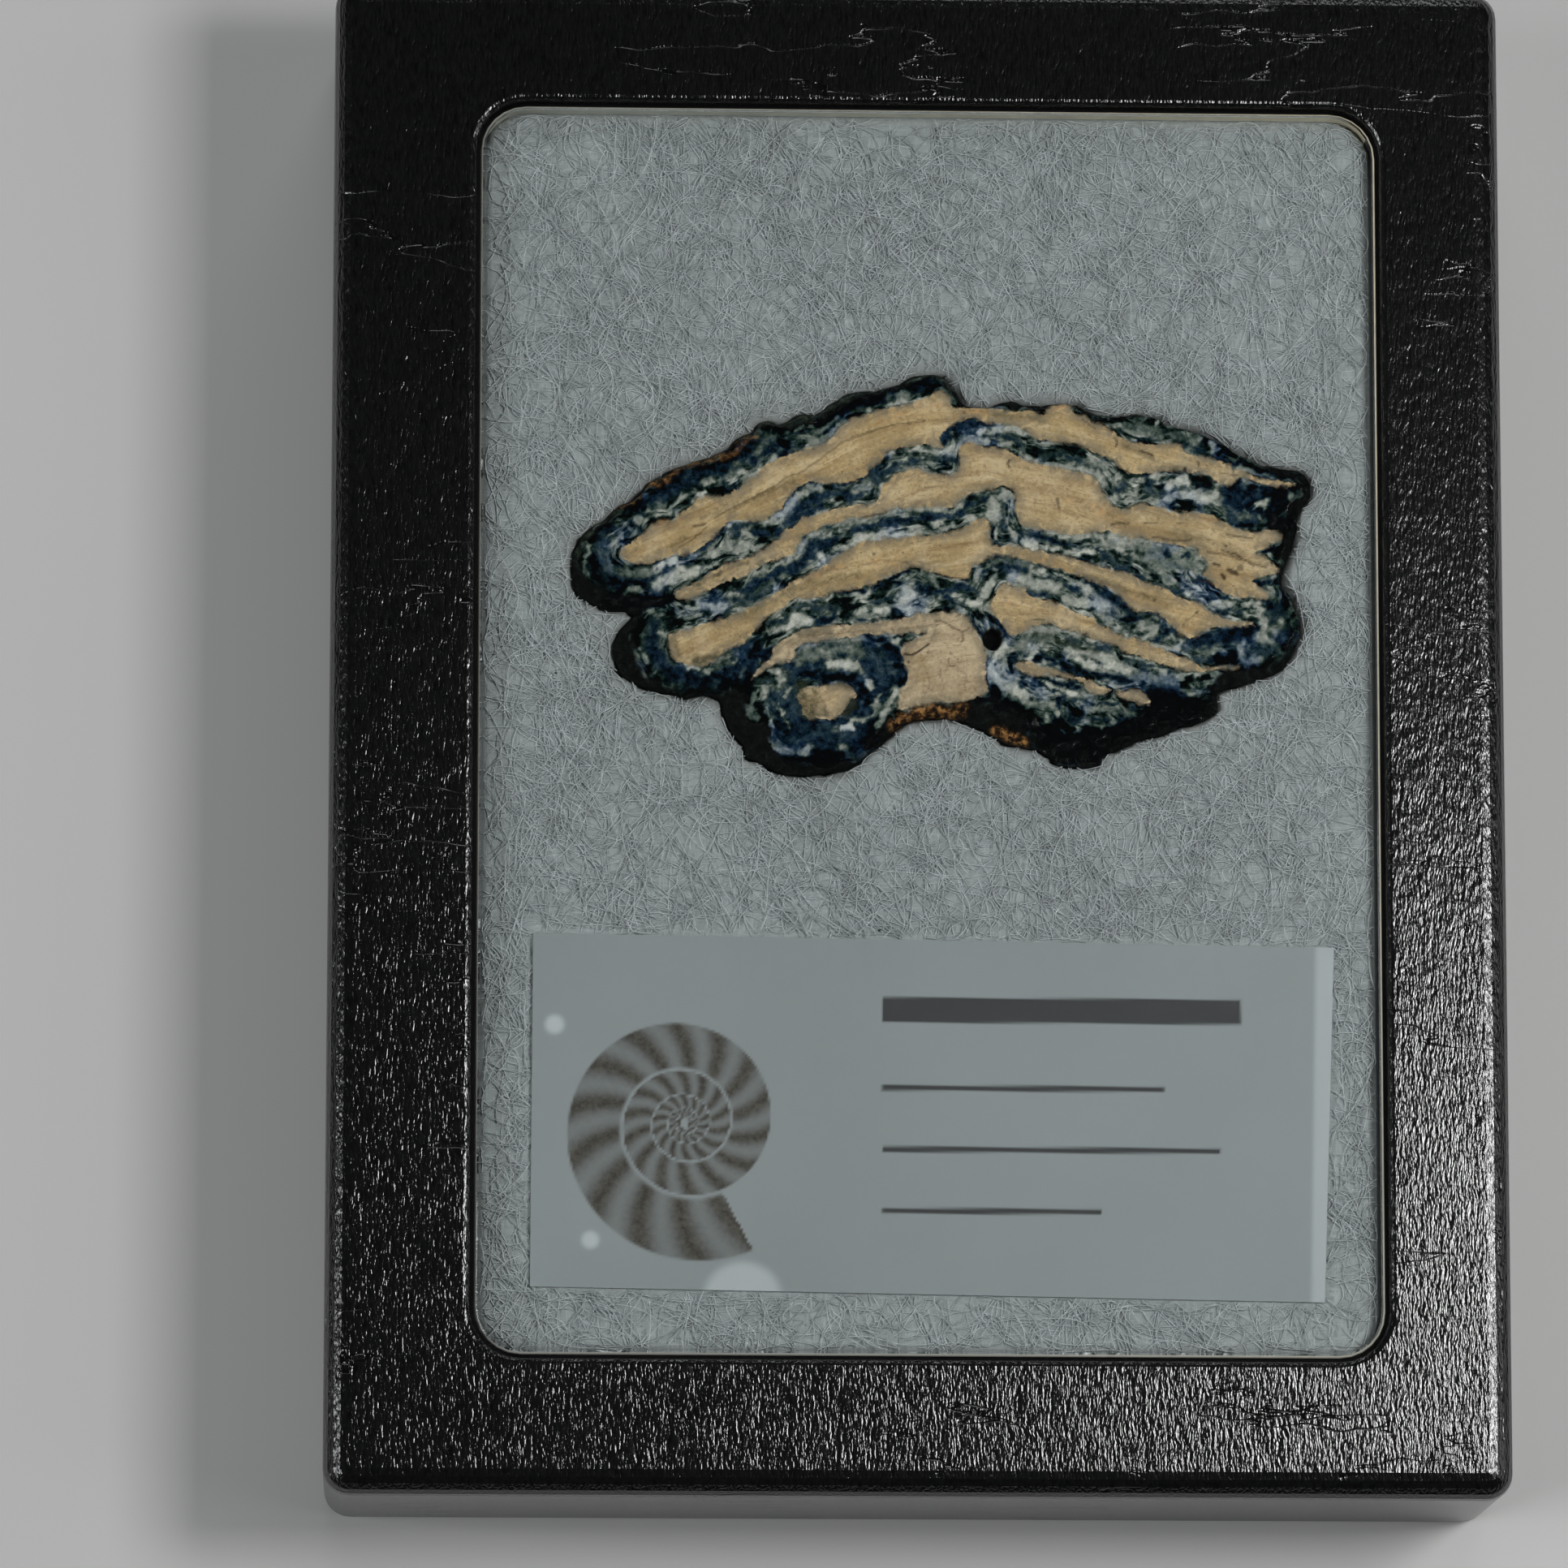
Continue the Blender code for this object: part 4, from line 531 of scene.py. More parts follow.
    (PALE, 0.25, 19.1, 10.5, 19.6, 10.2),
    (SOFT, 0.2, 14.8, 14.2, 15.6, 14.6),
    (SOFT, 0.15, 21.5, 9.75),
    (SOFT, 0.2, 22.4, 9.5, 24, 9.6, 24.8, 9.2),
    (SOFT, 0.2, 23.6, 8.9, 24.6, 8.6, 25, 8, 24.9, 7.4),
    (SOFT, 0.35, 25.6, 7.7, 26.2, 8.1),
    (SOFT, 0.35, 15.6, 7.6, 16.4, 7.9, 16.9, 7.5, 16.3, 7.2),
    (SOFT, 0.25, 11.2, 11.2, 12, 10.8, 12.4, 10.4),
    (SOFT, 0.4, 10.6, 9.9, 11.8, 9.5, 12.8, 9.7, 13.4, 9.4),
    (SOFT, 0.12, -19.9, 7, -20, 6.2, -19.6, 5.4, -19.2, 4.9),
    (SOFT, 0.1, -18.8, 4.3, -18.3, 3.8),
    (SOFT, 0.2, -18.6, 7.3, -18.2, 7, -17.9, 6.6),
    (PALE, 0.08, -17, 4.9, -16.2, 4.7, -15.7, 4.7),
    (SOFT, 0.25, -15.2, 4.3, -14.6, 4.5),
    (SOFT, 0.2, -14.2, 5.2, -13.2, 5, -13, 5.5),
    (SOFT, 0.07, -10.8, 4.4, -9.8, 4.4, -9.3, 4.4),
    (SOFT, 0.2, -11.4, 3, -11.8, 2.2, -12, 1.4, -11.6, 1),
    (SOFT, 0.07, -11.5, 1.8, -11, 2.6),
    (SOFT, 0.3, -10, 3.3, -9.8, 4),
    (SOFT, 0.07, -9.6, 2.7, -9.2, 3.1),
    (PALE, 0.08, -10.1, 2, -9.9, 1.4, -9.5, 0.8, -9.2, 0.4),
    (PALE, 0.07, -10.9, 1.1, -10.5, 0.5, -10.4, -0.3, -10.3, -1.2),
    (SOFT, 0.25, -10.1, -1.2, -9.2, -1.4, -8.4, -1.6, -7.8, -1.2),
    (PALE, 0.45, -6.1, 5, -5, 5),
    (SOFT, 0.15, -4.5, 5.4, -4.2, 4.8, -4, 4.3, -3.6, 3.6, -3.3, 3.2),
    (PALE, 0.3, -1.6, 3, -1.9, 2.4, -2.2, 1.8, -2.6, 1.2, -2.9, 0.7),
    (PALE, 0.12, -5.8, 0.4, -5, 0.3, -4.6, 0.3),
    (SOFT, 0.2, -4.6, 0.9, -3.8, 1, -3.2, 1.4, -3, 2.2, -2.6, 2.8),
    (SOFT, 0.08, -1, 5.2, -0.5, 4.6),
    (SOFT, 0.2, -5.4, -1.2, -5, -1.6),
    (0.08, 0.45, 6.2, 6.3, 5.6, 5.6, 5.4, 4.8, 5.6, 4, 6.2, 3.6, 7, 3.1, 7.8, 2.6, 8, 2.2),
    (SOFT, 0.25, 6.8, 4.2, 7.6, 4, 8.4, 3.8),
    (SOFT, 0.12, 8, 6.3, 8.7, 6.5),
    (PALE, 0.15, 9.2, 1.5, 9.3, 0.9),
    (SOFT, 0.2, 8.6, 3.2, 9, 2.8, 9.6, 2.2, 10, 1.6),
    (SOFT, 0.1, 7, 5.5, 7.5, 5.8, 7.2, 5.2),
    (PALE, 0.3, 10.8, 5.6, 11.8, 5.3, 13, 4.9, 14, 4.9, 15.2, 4.7),
    (0.14, 0.3, 10.8, 6, 12.2, 5.9, 13.6, 5.4, 14.4, 5.2),
    (MID, 0.3, 15.4, 4.4, 16.6, 4.2, 17.8, 3.9, 18.6, 3.6),
    (MID, 0.15, 12.3, 1.6, 13.4, 1.7, 14.4, 1.6),
    (PALE, 0.08, 8.2, 4.2, 9.5, 3.6, 10.6, 3.1, 12, 2.9, 13, 2.7),
    (SOFT, 0.2, 19.6, 3.8, 20.2, 3.2, 20.6, 3.6, 21.2, 3.9),
    (SOFT, 0.07, 19.9, 4.4, 20.8, 4.6, 21.4, 4.5),
    (SOFT, 0.3, 23.4, 6.6, 23.2, 6, 23.6, 5.4, 24.6, 5.7),
    (SOFT, 0.3, 24.4, 7.2, 25.4, 6.8),
    (SOFT, 0.08, 21.6, 4.95, 23, 5),
    (SOFT, 0.15, 16.8, 6.6, 17.6, 6.4, 18.4, 6.3, 18.9, 6.7),
]

# The dark root cement at the lower right, and the dark notch between the two left lobes
CEMENT = [
    [16.6, 3.6, 18.6, 3.2, 19, 2.6, 21, 2.2, 20.9, 1.2, 16, 0, 13, -2, 10, -1.9, 8.5, -0.8, 8.3, 1, 9.5,
     0.3, 12, 0, 14.5, 0.8, 16.2, 1.8],
    [-23.5, 9.2, -22, 9.9, -20.2, 9.8, -18.5, 9.9, -17.4, 9.7, -18.2, 9.2, -19.4, 9, -20.4, 8.4, -21.2,
     8.8],
]

# Iron stains, as (strength, half width, x, y, x, y ...)
RUST = [
    (0.7, 0.35, 0, 1.6, 1.4, 1.7, 2.4, 1.6, 3.2, 1.8),
    (0.6, 0.3, -1.8, 0.6, -1, 1.2, -0.4, 1.5),
    (1, 0.25, 5.6, 0.4, 6.6, 0, 7.5, -0.4),
    (0.5, 0.2, -19.3, 18.1, -18.2, 18.3, -17.4, 19),
    (0.4, 0.15, -16.8, 19.4, -15.8, 19.6, -15, 19.8),
    (0.5, 0.18, -14.4, 20.1, -13.4, 20.3, -13, 20.9, -12.2, 21.5, -11.8, 21.6),
    (0.5, 0.12, -21.2, 16.4, -20.6, 16.8, -20.1, 17),
    (0.5, 0.25, 3.6, 23.6, 4.9, 23.7),
    (0.5, 0.2, 9.8, 24, 10.9, 24.1),
    (0.4, 0.5, 6.6, 9.6),
    (0.4, 0.15, -3.6, 22.6, -2, 23, -0.6, 23.6, 0.6, 23.8, 2, 24),
    (0.35, 0.2, -18.8, 15, -17.4, 15.1, -16.4, 15),
    (0.3, 0.3, 10.8, 17, 13, 16.4, 14.5, 15.9),
    (0.35, 0.2, -8, 11, -6.2, 11.9, -4.4, 12.2, -2.4, 12.5, -0.6, 12.4),
]

# Cracks and specks in the dentine, as (strength, half width, x, y, x, y ...)
CRACKS = [
    (0.6, 0.06, -11.5, 17.2, -10.4, 17.8, -9.3, 18.6, -8.4, 19, -7.4, 19.7, -6.4, 20.5, -5.4, 21.2, -4.4,
     21.7, -3.2, 22, -2.2, 22.4, -1, 22.6, 0.6, 22.8),
    (0.5, 0.05, -14.6, 15.6, -13, 16.5, -11.4, 17.3),
    (0.6, 0.06, -17.2, 13.4, -16, 14.2, -15.2, 14.9),
    (0.7, 0.08, -16.2, 15, -15.4, 15.1),
    (0.9, 0.1, 16.1, 20.8, 16.8, 20.4),
    (0.9, 0.18, 19.2, 19.4),
    (0.8, 0.08, 20.2, 20, 20.3, 19.7),
    (0.6, 0.06, 21.8, 19.2, 23, 19),
    (0.8, 0.08, 14.2, 21.6, 14.4, 21.4),
    (0.6, 0.06, 11.8, 23, 12.8, 22.4),
    (0.8, 0.1, 13.2, 22.7, 14, 22.2),
    (0.8, 0.07, 2.8, 23.35),
    (0.8, 0.07, 3.3, 23.45),
    (0.9, 0.08, 6.65, 20, 6.55, 19.5),
    (0.25, 0.06, 0, 17.8, 1, 18, 2.2, 18),
    (0.7, 0.07, 10, 17.2, 10.2, 16.5),
    (0.7, 0.06, 13.9, 15.4, 15.2, 15.4),
    (0.6, 0.06, 16.2, 15.4, 17.2, 15.5),
    (0.6, 0.05, 18.6, 15.4, 19.4, 15.4),
    (0.4, 0.12, 17.3, 15.8),
    (0.7, 0.07, 22.2, 14.7, 23, 14.5, 24, 14.4),
    (0.9, 0.1, 22.1, 13.9),
    (0.9, 0.1, 21.3, 12.6, 21.7, 12.4),
    (0.9, 0.12, 21.9, 11.7, 22.1, 11.5),
    (0.8, 0.16, 22.4, 12.1, 22.9, 11.8),
    (0.6, 0.25, 23.2, 12.2),
    (0.8, 0.07, 20, 11.35, 20.8, 11.2, 21.3, 10.9),
    (0.7, 0.06, 17, 14.4, 18.4, 14.2, 19.6, 14.3),
    (0.6, 0.06, 20.8, 13.4, 22.4, 13.1, 24.2, 12.4),
    (0.8, 0.06, 21.8, 13.6, 22.8, 13.2, 24, 12.6, 25, 12.3),
    (0.9, 0.12, 6.4, 17.9),
    (0.9, 0.08, 5.5, 17.9),
    (0.7, 0.07, -4, 15.8, -2.6, 16),
    (1, 0.1, -3.2, 12.95),
    (0.35, 0.05, -6, 11.8, -4.4, 12.2, -2.4, 12.5, -0.6, 12.4),
    (0.3, 0.05, 0, 12.5, 2, 12.4),
    (0.9, 0.08, 17, 9.8),
    (0.9, 0.08, 20, 9),
    (0.5, 0.05, 19, 8, 20, 9),
    (0.9, 0.06, 1.4, 11.6, 2.2, 11.35, 3.4, 11.3),
    (0.9, 0.08, 0.5, 11.8),
    (0.7, 0.06, 1.2, 8.2, 2, 8, 2.6, 7.7, 3.1, 7.4, 3.6, 7.7),
    (0.7, 0.05, 3.1, 7.3, 3.2, 6.8, 3, 6.6),
    (0.6, 0.05, 2.2, 5.4, 2.3, 5, 2.6, 4.9),
    (0.4, 0.05, 1.6, 4.8, 1.8, 3.8),
    (0.35, 0.05, 2.6, 4.9, 3.4, 4.2, 3.2, 3.2),
    (0.3, 0.05, 0.4, 5, 0.8, 3.6, 0.3, 2.6),
    (1, 0.08, -1, 5.75, -0.4, 5.7, 0.1, 5.9, 0.5, 6.3, 0.7, 6.5),
    (0.8, 0.06, 0.8, 5.9),
    (0.8, 0.09, -0.7, 5.2),
    (0.4, 0.05, -7.2, 3, -6.9, 2.4, -6.7, 1.6),
    (0.7, 0.06, 8.2, 8.4, 9, 8.4),
    (0.9, 0.08, 12.2, 8.6),
    (0.9, 0.08, 12, 7.3),
    (0.4, 0.05, -8, 7, -5, 7.3, -1, 7.6, 1.6, 7.9),
]

# Olive-brown stains in the dentine, as (strength, half width, x, y, x, y ...)
STAINS = [
    (0.85, 0.35, -8.3, 3.3, -8.1, 2.4, -7.9, 1.3),
    (0.6, 0.25, -7.5, 2.6, -7.6, 1.9, -7.2, 1.2),
    (0.72, 0.25, -5.3, 1.3, -4.7, 2.2),
    (0.64, 0.15, -7.6, 3.1, -7.2, 2.6, -7, 1.9, -6.6, 1.3),
    (0.72, 0.2, -5.8, 3.5, -4.8, 3.3),
    (0.8, 0.3, -16, 5.15, -15, 5.3, -13.8, 5.6),
    (0.48, 0.2, -17.5, 6.6, -17.1, 5.6),
    (0.48, 0.12, -19.4, 12.8, -17.8, 13.4, -16.6, 14.2),
    (0.45, 0.25, -15.4, 15.7, -13.2, 16.5, -11.2, 17.2, -9, 18.3),
    (0.72, 0.12, -16.4, 10.4, -15, 11.1, -13.6, 11.8, -12.2, 12.3),
    (0.48, 0.1, -14, 11, -12.6, 11.8, -11, 12.6),
    (0.48, 0.3, -9.8, 10, -7, 10.9, -4.5, 11.5),
    (0.4, 0.35, -12.4, 8.4, -10.6, 9.6),
    (0.48, 0.2, -9.4, 6.4, -8, 7.1, -6.2, 7.3),
    (0.48, 0.25, 5.6, 23.3, 7.4, 23.2, 9.2, 22.9),
    (0.56, 0.2, 14.8, 21.2, 17, 20.1, 19, 19.2),
    (0.48, 0.3, 18, 14.9, 20.6, 14.2, 23.2, 13.2),
    (0.48, 0.2, 12, 11.6, 15, 10.6, 18, 9.6),
    (0.48, 0.25, 8.4, 7.3, 10.6, 6.6, 12.6, 5.9),
]

# Dark bits caught in the fibre
FIBRE_SPECKS = [(-25.93, 4.15), (16.16, 40.0), (-2.81, -14.3)]


def closed_line(line):
    """The line with its first point repeated at its end."""
    return np.vstack([line, line[:1]])


def smooth_line(numbers, closed=False, steps=3):
    """A smooth curve through the points of a drawn line."""
    corner = np.array(numbers, float).reshape(-1, 2)
    if len(corner) < 3:
        return np.vstack([corner, corner[-1:]])
    if closed:
        before, after, later = np.roll(corner, 1, 0), np.roll(corner, -1, 0), np.roll(corner, -2, 0)
    else:
        before = np.vstack([corner[:1], corner[:-1]])
        after = np.vstack([corner[1:], corner[-1:]])
        later = np.vstack([corner[2:], corner[-1:], corner[-1:]])
    pieces = []
    for step in range(steps):
        t = step / steps
        pieces.append(0.5 * (2 * corner + t * (after - before)
                             + t * t * (2 * before - 5 * corner + 4 * after - later)
                             + t ** 3 * (3 * corner - before - 3 * after + later)))
    line = np.stack(pieces, 1).reshape(-1, 2)
    return line if closed else np.vstack([line[:-steps + 1], corner[-1:]])


def soft_step(value):
    """Rise smoothly from 0 to 1."""
    value = np.clip(value, 0.0, 1.0)
    return value * value * (3 - 2 * value)


def value_noise(x, y, size, seed):
    """Smooth noise from 0 to 1 whose lumps are size across."""
    random = np.random.default_rng(seed)
    table = random.random((64, 64))
    column, row = x / size, y / size
    left, low = np.floor(column).astype(int), np.floor(row).astype(int)
    across, up = soft_step(column - left), soft_step(row - low)
    a = table[low % 64, left % 64]
    b = table[low % 64, (left + 1) % 64]
    c = table[(low + 1) % 64, left % 64]
    d = table[(low + 1) % 64, (left + 1) % 64]
    return (a * (1 - across) + b * across) * (1 - up) + (c * (1 - across) + d * across) * up


def rough_noise(x, y, size, seed, octaves=3):
    """Value noise in several sizes, around 0."""
    total = np.zeros(np.shape(x))
    for octave in range(octaves):
        total += (value_noise(x, y, size / 2 ** octave, seed + octave) - 0.5) / 1.8 ** octave
    return total


def gap_to_segment(x, y, start, end):
    """Distance from each place to a straight piece of line."""
    along = end - start
    squared = max(along @ along, 1e-9)
    part = np.clip(((x - start[0]) * along[0] + (y - start[1]) * along[1]) / squared, 0, 1)
    return np.hypot(x - start[0] - part * along[0], y - start[1] - part * along[1])


class Lattice:
    """A flat region on a fine square lattice, in millimetres, to measure and paint drawn lines on."""

    def __init__(self, low, high, step, wander):
        self.low = np.array(low, float)
        self.step = step
        self.columns = int(round((high[0] - low[0]) / step)) + 1
        self.rows = int(round((high[1] - low[1]) / step)) + 1
        self.x, self.y = np.meshgrid(low[0] + step * np.arange(self.columns),
                                     low[1] + step * np.arange(self.rows))
        self.drawn_x = self.x + wander * rough_noise(self.x, self.y, 0.6, 1)
        self.drawn_y = self.y + wander * rough_noise(self.x, self.y, 0.6, 11)
        self.unevenness = rough_noise(self.x, self.y, 0.5, 21)

    def blank(self, value=0.0):
        """A field with one value everywhere."""
        return np.full((self.rows, self.columns), float(value))

    def patch(self, points, reach):
        """The part of the lattice within reach of some points."""
        low = np.floor((points.min(0) - reach - self.low) / self.step).astype(int)
        high = np.ceil((points.max(0) + reach - self.low) / self.step).astype(int) + 1
        low, high = np.maximum(low, 0), np.maximum(high, 0)
        return slice(low[1], high[1]), slice(low[0], high[0])

    def distance(self, line, reach):
        """How far each place is from a line, up to reach."""
        result = self.blank(reach)
        for start, end in zip(line, line[1:]):
            here = self.patch(np.array([start, end]), reach)
            gap = gap_to_segment(self.drawn_x[here], self.drawn_y[here], start, end)
            result[here] = np.minimum(result[here], gap)
        return result

    def inside(self, line):
        """Which places lie inside a closed line."""
        found = np.zeros((self.rows, self.columns), bool)
        for start, end in zip(line, line[1:]):
            if start[1] == end[1]:
                continue
            low, high = sorted((start[1], end[1]))
            here = self.patch(np.array([start, end]), self.step)[0]
            x, y = self.drawn_x[here], self.drawn_y[here]
            crossing = start[0] + (y - start[1]) * (end[0] - start[0]) / (end[1] - start[1])
            found[here] ^= (y > low) & (y <= high) & (x > crossing)
        return found

    def signed(self, outline, reach):
        """Distance to a closed outline, positive inside."""
        line = closed_line(smooth_line(outline, closed=True))
        return np.where(self.inside(line), 1.0, -1.0) * self.distance(line, reach)

    def brush(self, field, points, half_width, value, strength, soft, fray):
        """Paint a line of this width into a field. A frayed line is uneven and thins to its ends."""
        line = smooth_line(points)
        here = self.patch(line, half_width + soft + 0.5 * fray)
        x, y = self.drawn_x[here], self.drawn_y[here]
        gap = np.full(x.shape, 9.0)
        for index, (start, end) in enumerate(zip(line, line[1:])):
            thinner = 0.7 * fray * half_width * (1 - math.sin(math.pi * (index + 0.5) / (len(line) - 1)))
            gap = np.minimum(gap, gap_to_segment(x, y, start, end) + thinner)
        gap += fray * self.unevenness[here]
        weight = strength * soft_step((half_width + soft - gap) / (2 * soft))
        field[here] += weight * (value - field[here])

    def sample(self, field, x, y):
        """The field's value at places in between, straight between lattice points."""
        column = np.clip((x - self.low[0]) / self.step, 0, self.columns - 1.001)
        row = np.clip((y - self.low[1]) / self.step, 0, self.rows - 1.001)
        left, low = column.astype(int), row.astype(int)
        across, up = column - left, row - low
        near = field[low, left] * (1 - across) + field[low, left + 1] * across
        far = field[low + 1, left] * (1 - across) + field[low + 1, left + 1] * across
        return near * (1 - up) + far * up


def rounded_gap(x, y, width, length, radius):
    """Signed distance to a round-cornered rectangle on the window's middle, positive inside."""
    out_x = np.abs(x - WINDOW_CENTRE[0]) - (width / 2 - radius)
    out_y = np.abs(y - WINDOW_CENTRE[1]) - (length / 2 - radius)
    outer = np.hypot(np.maximum(out_x, 0), np.maximum(out_y, 0))
    return radius - outer - np.minimum(np.maximum(out_x, out_y), 0)


def deselect():
    """Leave edit mode and select nothing."""
    if bpy.context.object and bpy.context.object.mode != "OBJECT":
        bpy.ops.object.mode_set(mode="OBJECT")
    bpy.ops.object.select_all(action="DESELECT")


def make_active(thing):
    """Select only this object."""
    deselect()
    bpy.context.view_layer.objects.active = thing
    thing.select_set(True)


def finish_new(name, material):
    """Name the new object, put its place into its mesh and give it its material."""
    thing = bpy.context.object
    thing.name = name
    thing.data.name = name
    bpy.ops.object.transform_apply(location=True, rotation=True, scale=True)
    thing.data.materials.append(material)
    return thing


def new_grid(name, grid, width, length, centre, material):
    """A level grid of this size, as a new object."""
    deselect()
    bpy.ops.mesh.primitive_grid_add(x_subdivisions=grid[0], y_subdivisions=grid[1], size=1.0,
                                    location=[value * MM for value in centre])
    bpy.context.object.scale = (width * MM, length * MM, 1.0)
    return finish_new(name, material)


def places(mesh):
    """The mesh's points as an array, in millimetres."""
    flat = np.empty(len(mesh.vertices) * 3)
    mesh.vertices.foreach_get("co", flat)
    return flat.reshape(-1, 3) / MM


def set_places(mesh, points):
    """Move the mesh's points to these places, in millimetres."""
    mesh.vertices.foreach_set("co", (points * MM).ravel())
    mesh.update()


def delete_faces(thing, unwanted):
    """Delete the faces that are marked as unwanted."""
    make_active(thing)
    mesh = thing.data
    mesh.polygons.foreach_set("select", unwanted)
    for rest in (mesh.vertices, mesh.edges):
        rest.foreach_set("select", np.zeros(len(rest), bool))
    bpy.ops.object.mode_set(mode="EDIT")
    bpy.context.tool_settings.mesh_select_mode = (False, False, True)
    bpy.ops.mesh.delete(type="FACE")
    bpy.ops.object.mode_set(mode="OBJECT")


def select_border(thing):
    """Go into edit mode with only the mesh's open border selected."""
    make_active(thing)
    bpy.ops.object.mode_set(mode="EDIT")
    bpy.ops.mesh.select_mode(type="EDGE")
    bpy.ops.mesh.select_all(action="DESELECT")
    bpy.ops.mesh.select_non_manifold(extend=False, use_wire=False, use_boundary=True,
                                     use_multi_face=False, use_non_contiguous=False, use_verts=False)


def draw_down(depth):
    """Extrude the selected border downward."""
    bpy.ops.mesh.extrude_edges_move(TRANSFORM_OT_translate={"value": (0, 0, -depth * MM)})


def close_below():
    """Close the selected border with faces, turn all faces outward and leave edit mode."""
    bpy.ops.mesh.edge_face_add()
    bpy.ops.mesh.quads_convert_to_tris(quad_method="BEAUTY", ngon_method="BEAUTY")
    bpy.ops.mesh.select_all(action="SELECT")
    bpy.ops.mesh.normals_make_consistent(inside=False)
    bpy.ops.object.mode_set(mode="OBJECT")


def smooth_shading(thing, angle):
    """Shade the object smoothly, except where its faces meet at more than this angle, in degrees."""
    thing.data.shade_smooth()
    thing.data.set_sharp_from_angle(angle=math.radians(angle))


def store(mesh, name, values):
    """Keep one number for each point of the mesh, for its material to read."""
    made = mesh.attributes.new(name, "FLOAT", "POINT")
    made.data.foreach_set("value", np.asarray(values, np.float32))


def node(tree, kind, inputs=None, **settings):
    """A new shader node. Inputs are values or other nodes' outputs, by socket name or number."""
    made = tree.nodes.new("ShaderNode" + kind)
    for name, value in settings.items():
        setattr(made, name, value)
    for name, value in (inputs or {}).items():
        socket = made.inputs[name]
        if isinstance(value, bpy.types.NodeSocket):
            tree.links.new(value, socket)
        else:
            socket.default_value = value
    return made


def maths(tree, operation, first, second=0.0, clamp=False):
    return node(tree, "Math", {0: first, 1: second}, operation=operation, use_clamp=clamp).outputs[0]


def plus(tree, first, second, clamp=False):
    return maths(tree, "ADD", first, second, clamp)


def minus(tree, first, second):
    return maths(tree, "SUBTRACT", first, second)


def times(tree, first, second):
    return maths(tree, "MULTIPLY", first, second)


def apart(tree, first, second):
    """How far two values are apart."""
    return maths(tree, "ABSOLUTE", minus(tree, first, second))


def spread(tree, value, low, high, new_low=0.0, new_high=1.0):
    """Stretch a value from one range to another, smoothly and within it."""
    inputs = {"Value": value, "From Min": low, "From Max": high, "To Min": new_low, "To Max": new_high}
    return node(tree, "MapRange", inputs, interpolation_type="SMOOTHSTEP").outputs[0]


def mixed(tree, factor, first, second):
    """Mix the first colour with the second, by factor."""
    inputs = {0: factor, 6: first, 7: second}
    for socket, value in inputs.items():
        if isinstance(value, tuple):
            inputs[socket] = (*value, 1.0)
    return node(tree, "Mix", inputs, data_type="RGBA").outputs[2]


def vector(tree, **parts):
    """A vector from values for X, Y and Z."""
    return node(tree, "CombineXYZ", parts).outputs[0]


def ramp(tree, factor, stops):
    """Colours by factor. Each stop is (place, (red, green, blue))."""
    made = node(tree, "ValToRGB", {"Fac": factor})
    made.color_ramp.interpolation = "LINEAR"
    while len(made.color_ramp.elements) < len(stops):
        made.color_ramp.elements.new(0.5)
    for element, (place, colour) in zip(made.color_ramp.elements, stops):
        element.position = place
        element.color = (*colour, 1.0)
    return made.outputs["Color"]


def attribute(tree, name):
    return node(tree, "Attribute", attribute_name=name, attribute_type="GEOMETRY").outputs["Fac"]


def object_place(tree, scale, turn=(0.0, 0.0, 0.0)):
    """The object's own coordinates, scaled per metre by one number or by three."""
    coordinates = node(tree, "TexCoord").outputs["Object"]
    scale = scale if isinstance(scale, tuple) else (scale, scale, scale)
    return node(tree, "Mapping", {"Vector": coordinates, "Scale": scale, "Rotation": turn}).outputs[0]


def noise(tree, place, detail=2.0, roughness=0.5, distortion=0.0, scale=1.0):
    """Noise from 0 to 1 at a place, or over the object's own coordinates if it is given their scale."""
    if not isinstance(place, bpy.types.NodeSocket):
        place = object_place(tree, place)
    inputs = {"Vector": place, "Scale": scale, "Detail": detail, "Roughness": roughness,
              "Distortion": distortion}
    return node(tree, "TexNoise", inputs).outputs["Fac"]


def bump(tree, height, distance, strength=1.0, normal=None):
    inputs = {"Height": height, "Distance": distance, "Strength": strength}
    if normal:
        inputs["Normal"] = normal
    return node(tree, "Bump", inputs).outputs["Normal"]


def new_material(name, **values):
    """A material and its nodes, with constants set on its Principled shader."""
    made = bpy.data.materials.new(name)
    made.use_nodes = True
    for socket, value in values.items():
        made.node_tree.nodes["Principled BSDF"].inputs[socket.replace("_", " ")].default_value = value
    return made, made.node_tree


def join_to(made, **sockets):
    """Link outputs to the sockets of the material's Principled shader."""
    shader = made.node_tree.nodes["Principled BSDF"]
    for name, output in sockets.items():
        made.node_tree.links.new(output, shader.inputs[name.replace("_", " ")])
    return made


def leatherette():
    """Black paper embossed with long, close, wavy wrinkles, and a few wider creases across them."""
    made, tree = new_material("leatherette", Specular_IOR_Level=0.66, IOR=1.5, Roughness=0.16)
    bend = noise(tree, 650, detail=1)
    shift = vector(tree, X=times(tree, bend, 2.2))
    place = node(tree, "VectorMath", {0: object_place(tree, (4900, 1250, 4900)), 1: shift},
                 operation="ADD").outputs[0]
    grain = noise(tree, place, detail=2, roughness=0.55)
    ridge = apart(tree, noise(tree, place, detail=1, scale=0.7), 0.5)
    height = minus(tree, grain, times(tree, ridge, 1.1))
    line = apart(tree, noise(tree, (90, 330, 330), detail=3), 0.45)
    rare = spread(tree, noise(tree, (55, 75, 55), detail=1), 0.52, 0.62)
    crease = times(tree, spread(tree, line, 0.0, 0.012, -0.7, 0.0), rare)
    height = plus(tree, height, crease)
    grey = ramp(tree, height, [(0.1, (0.0015, 0.0016, 0.0016)), (0.6, (0.006, 0.0062, 0.0062))])
    return join_to(made, Base_Color=grey, Normal=bump(tree, height, 0.000054))


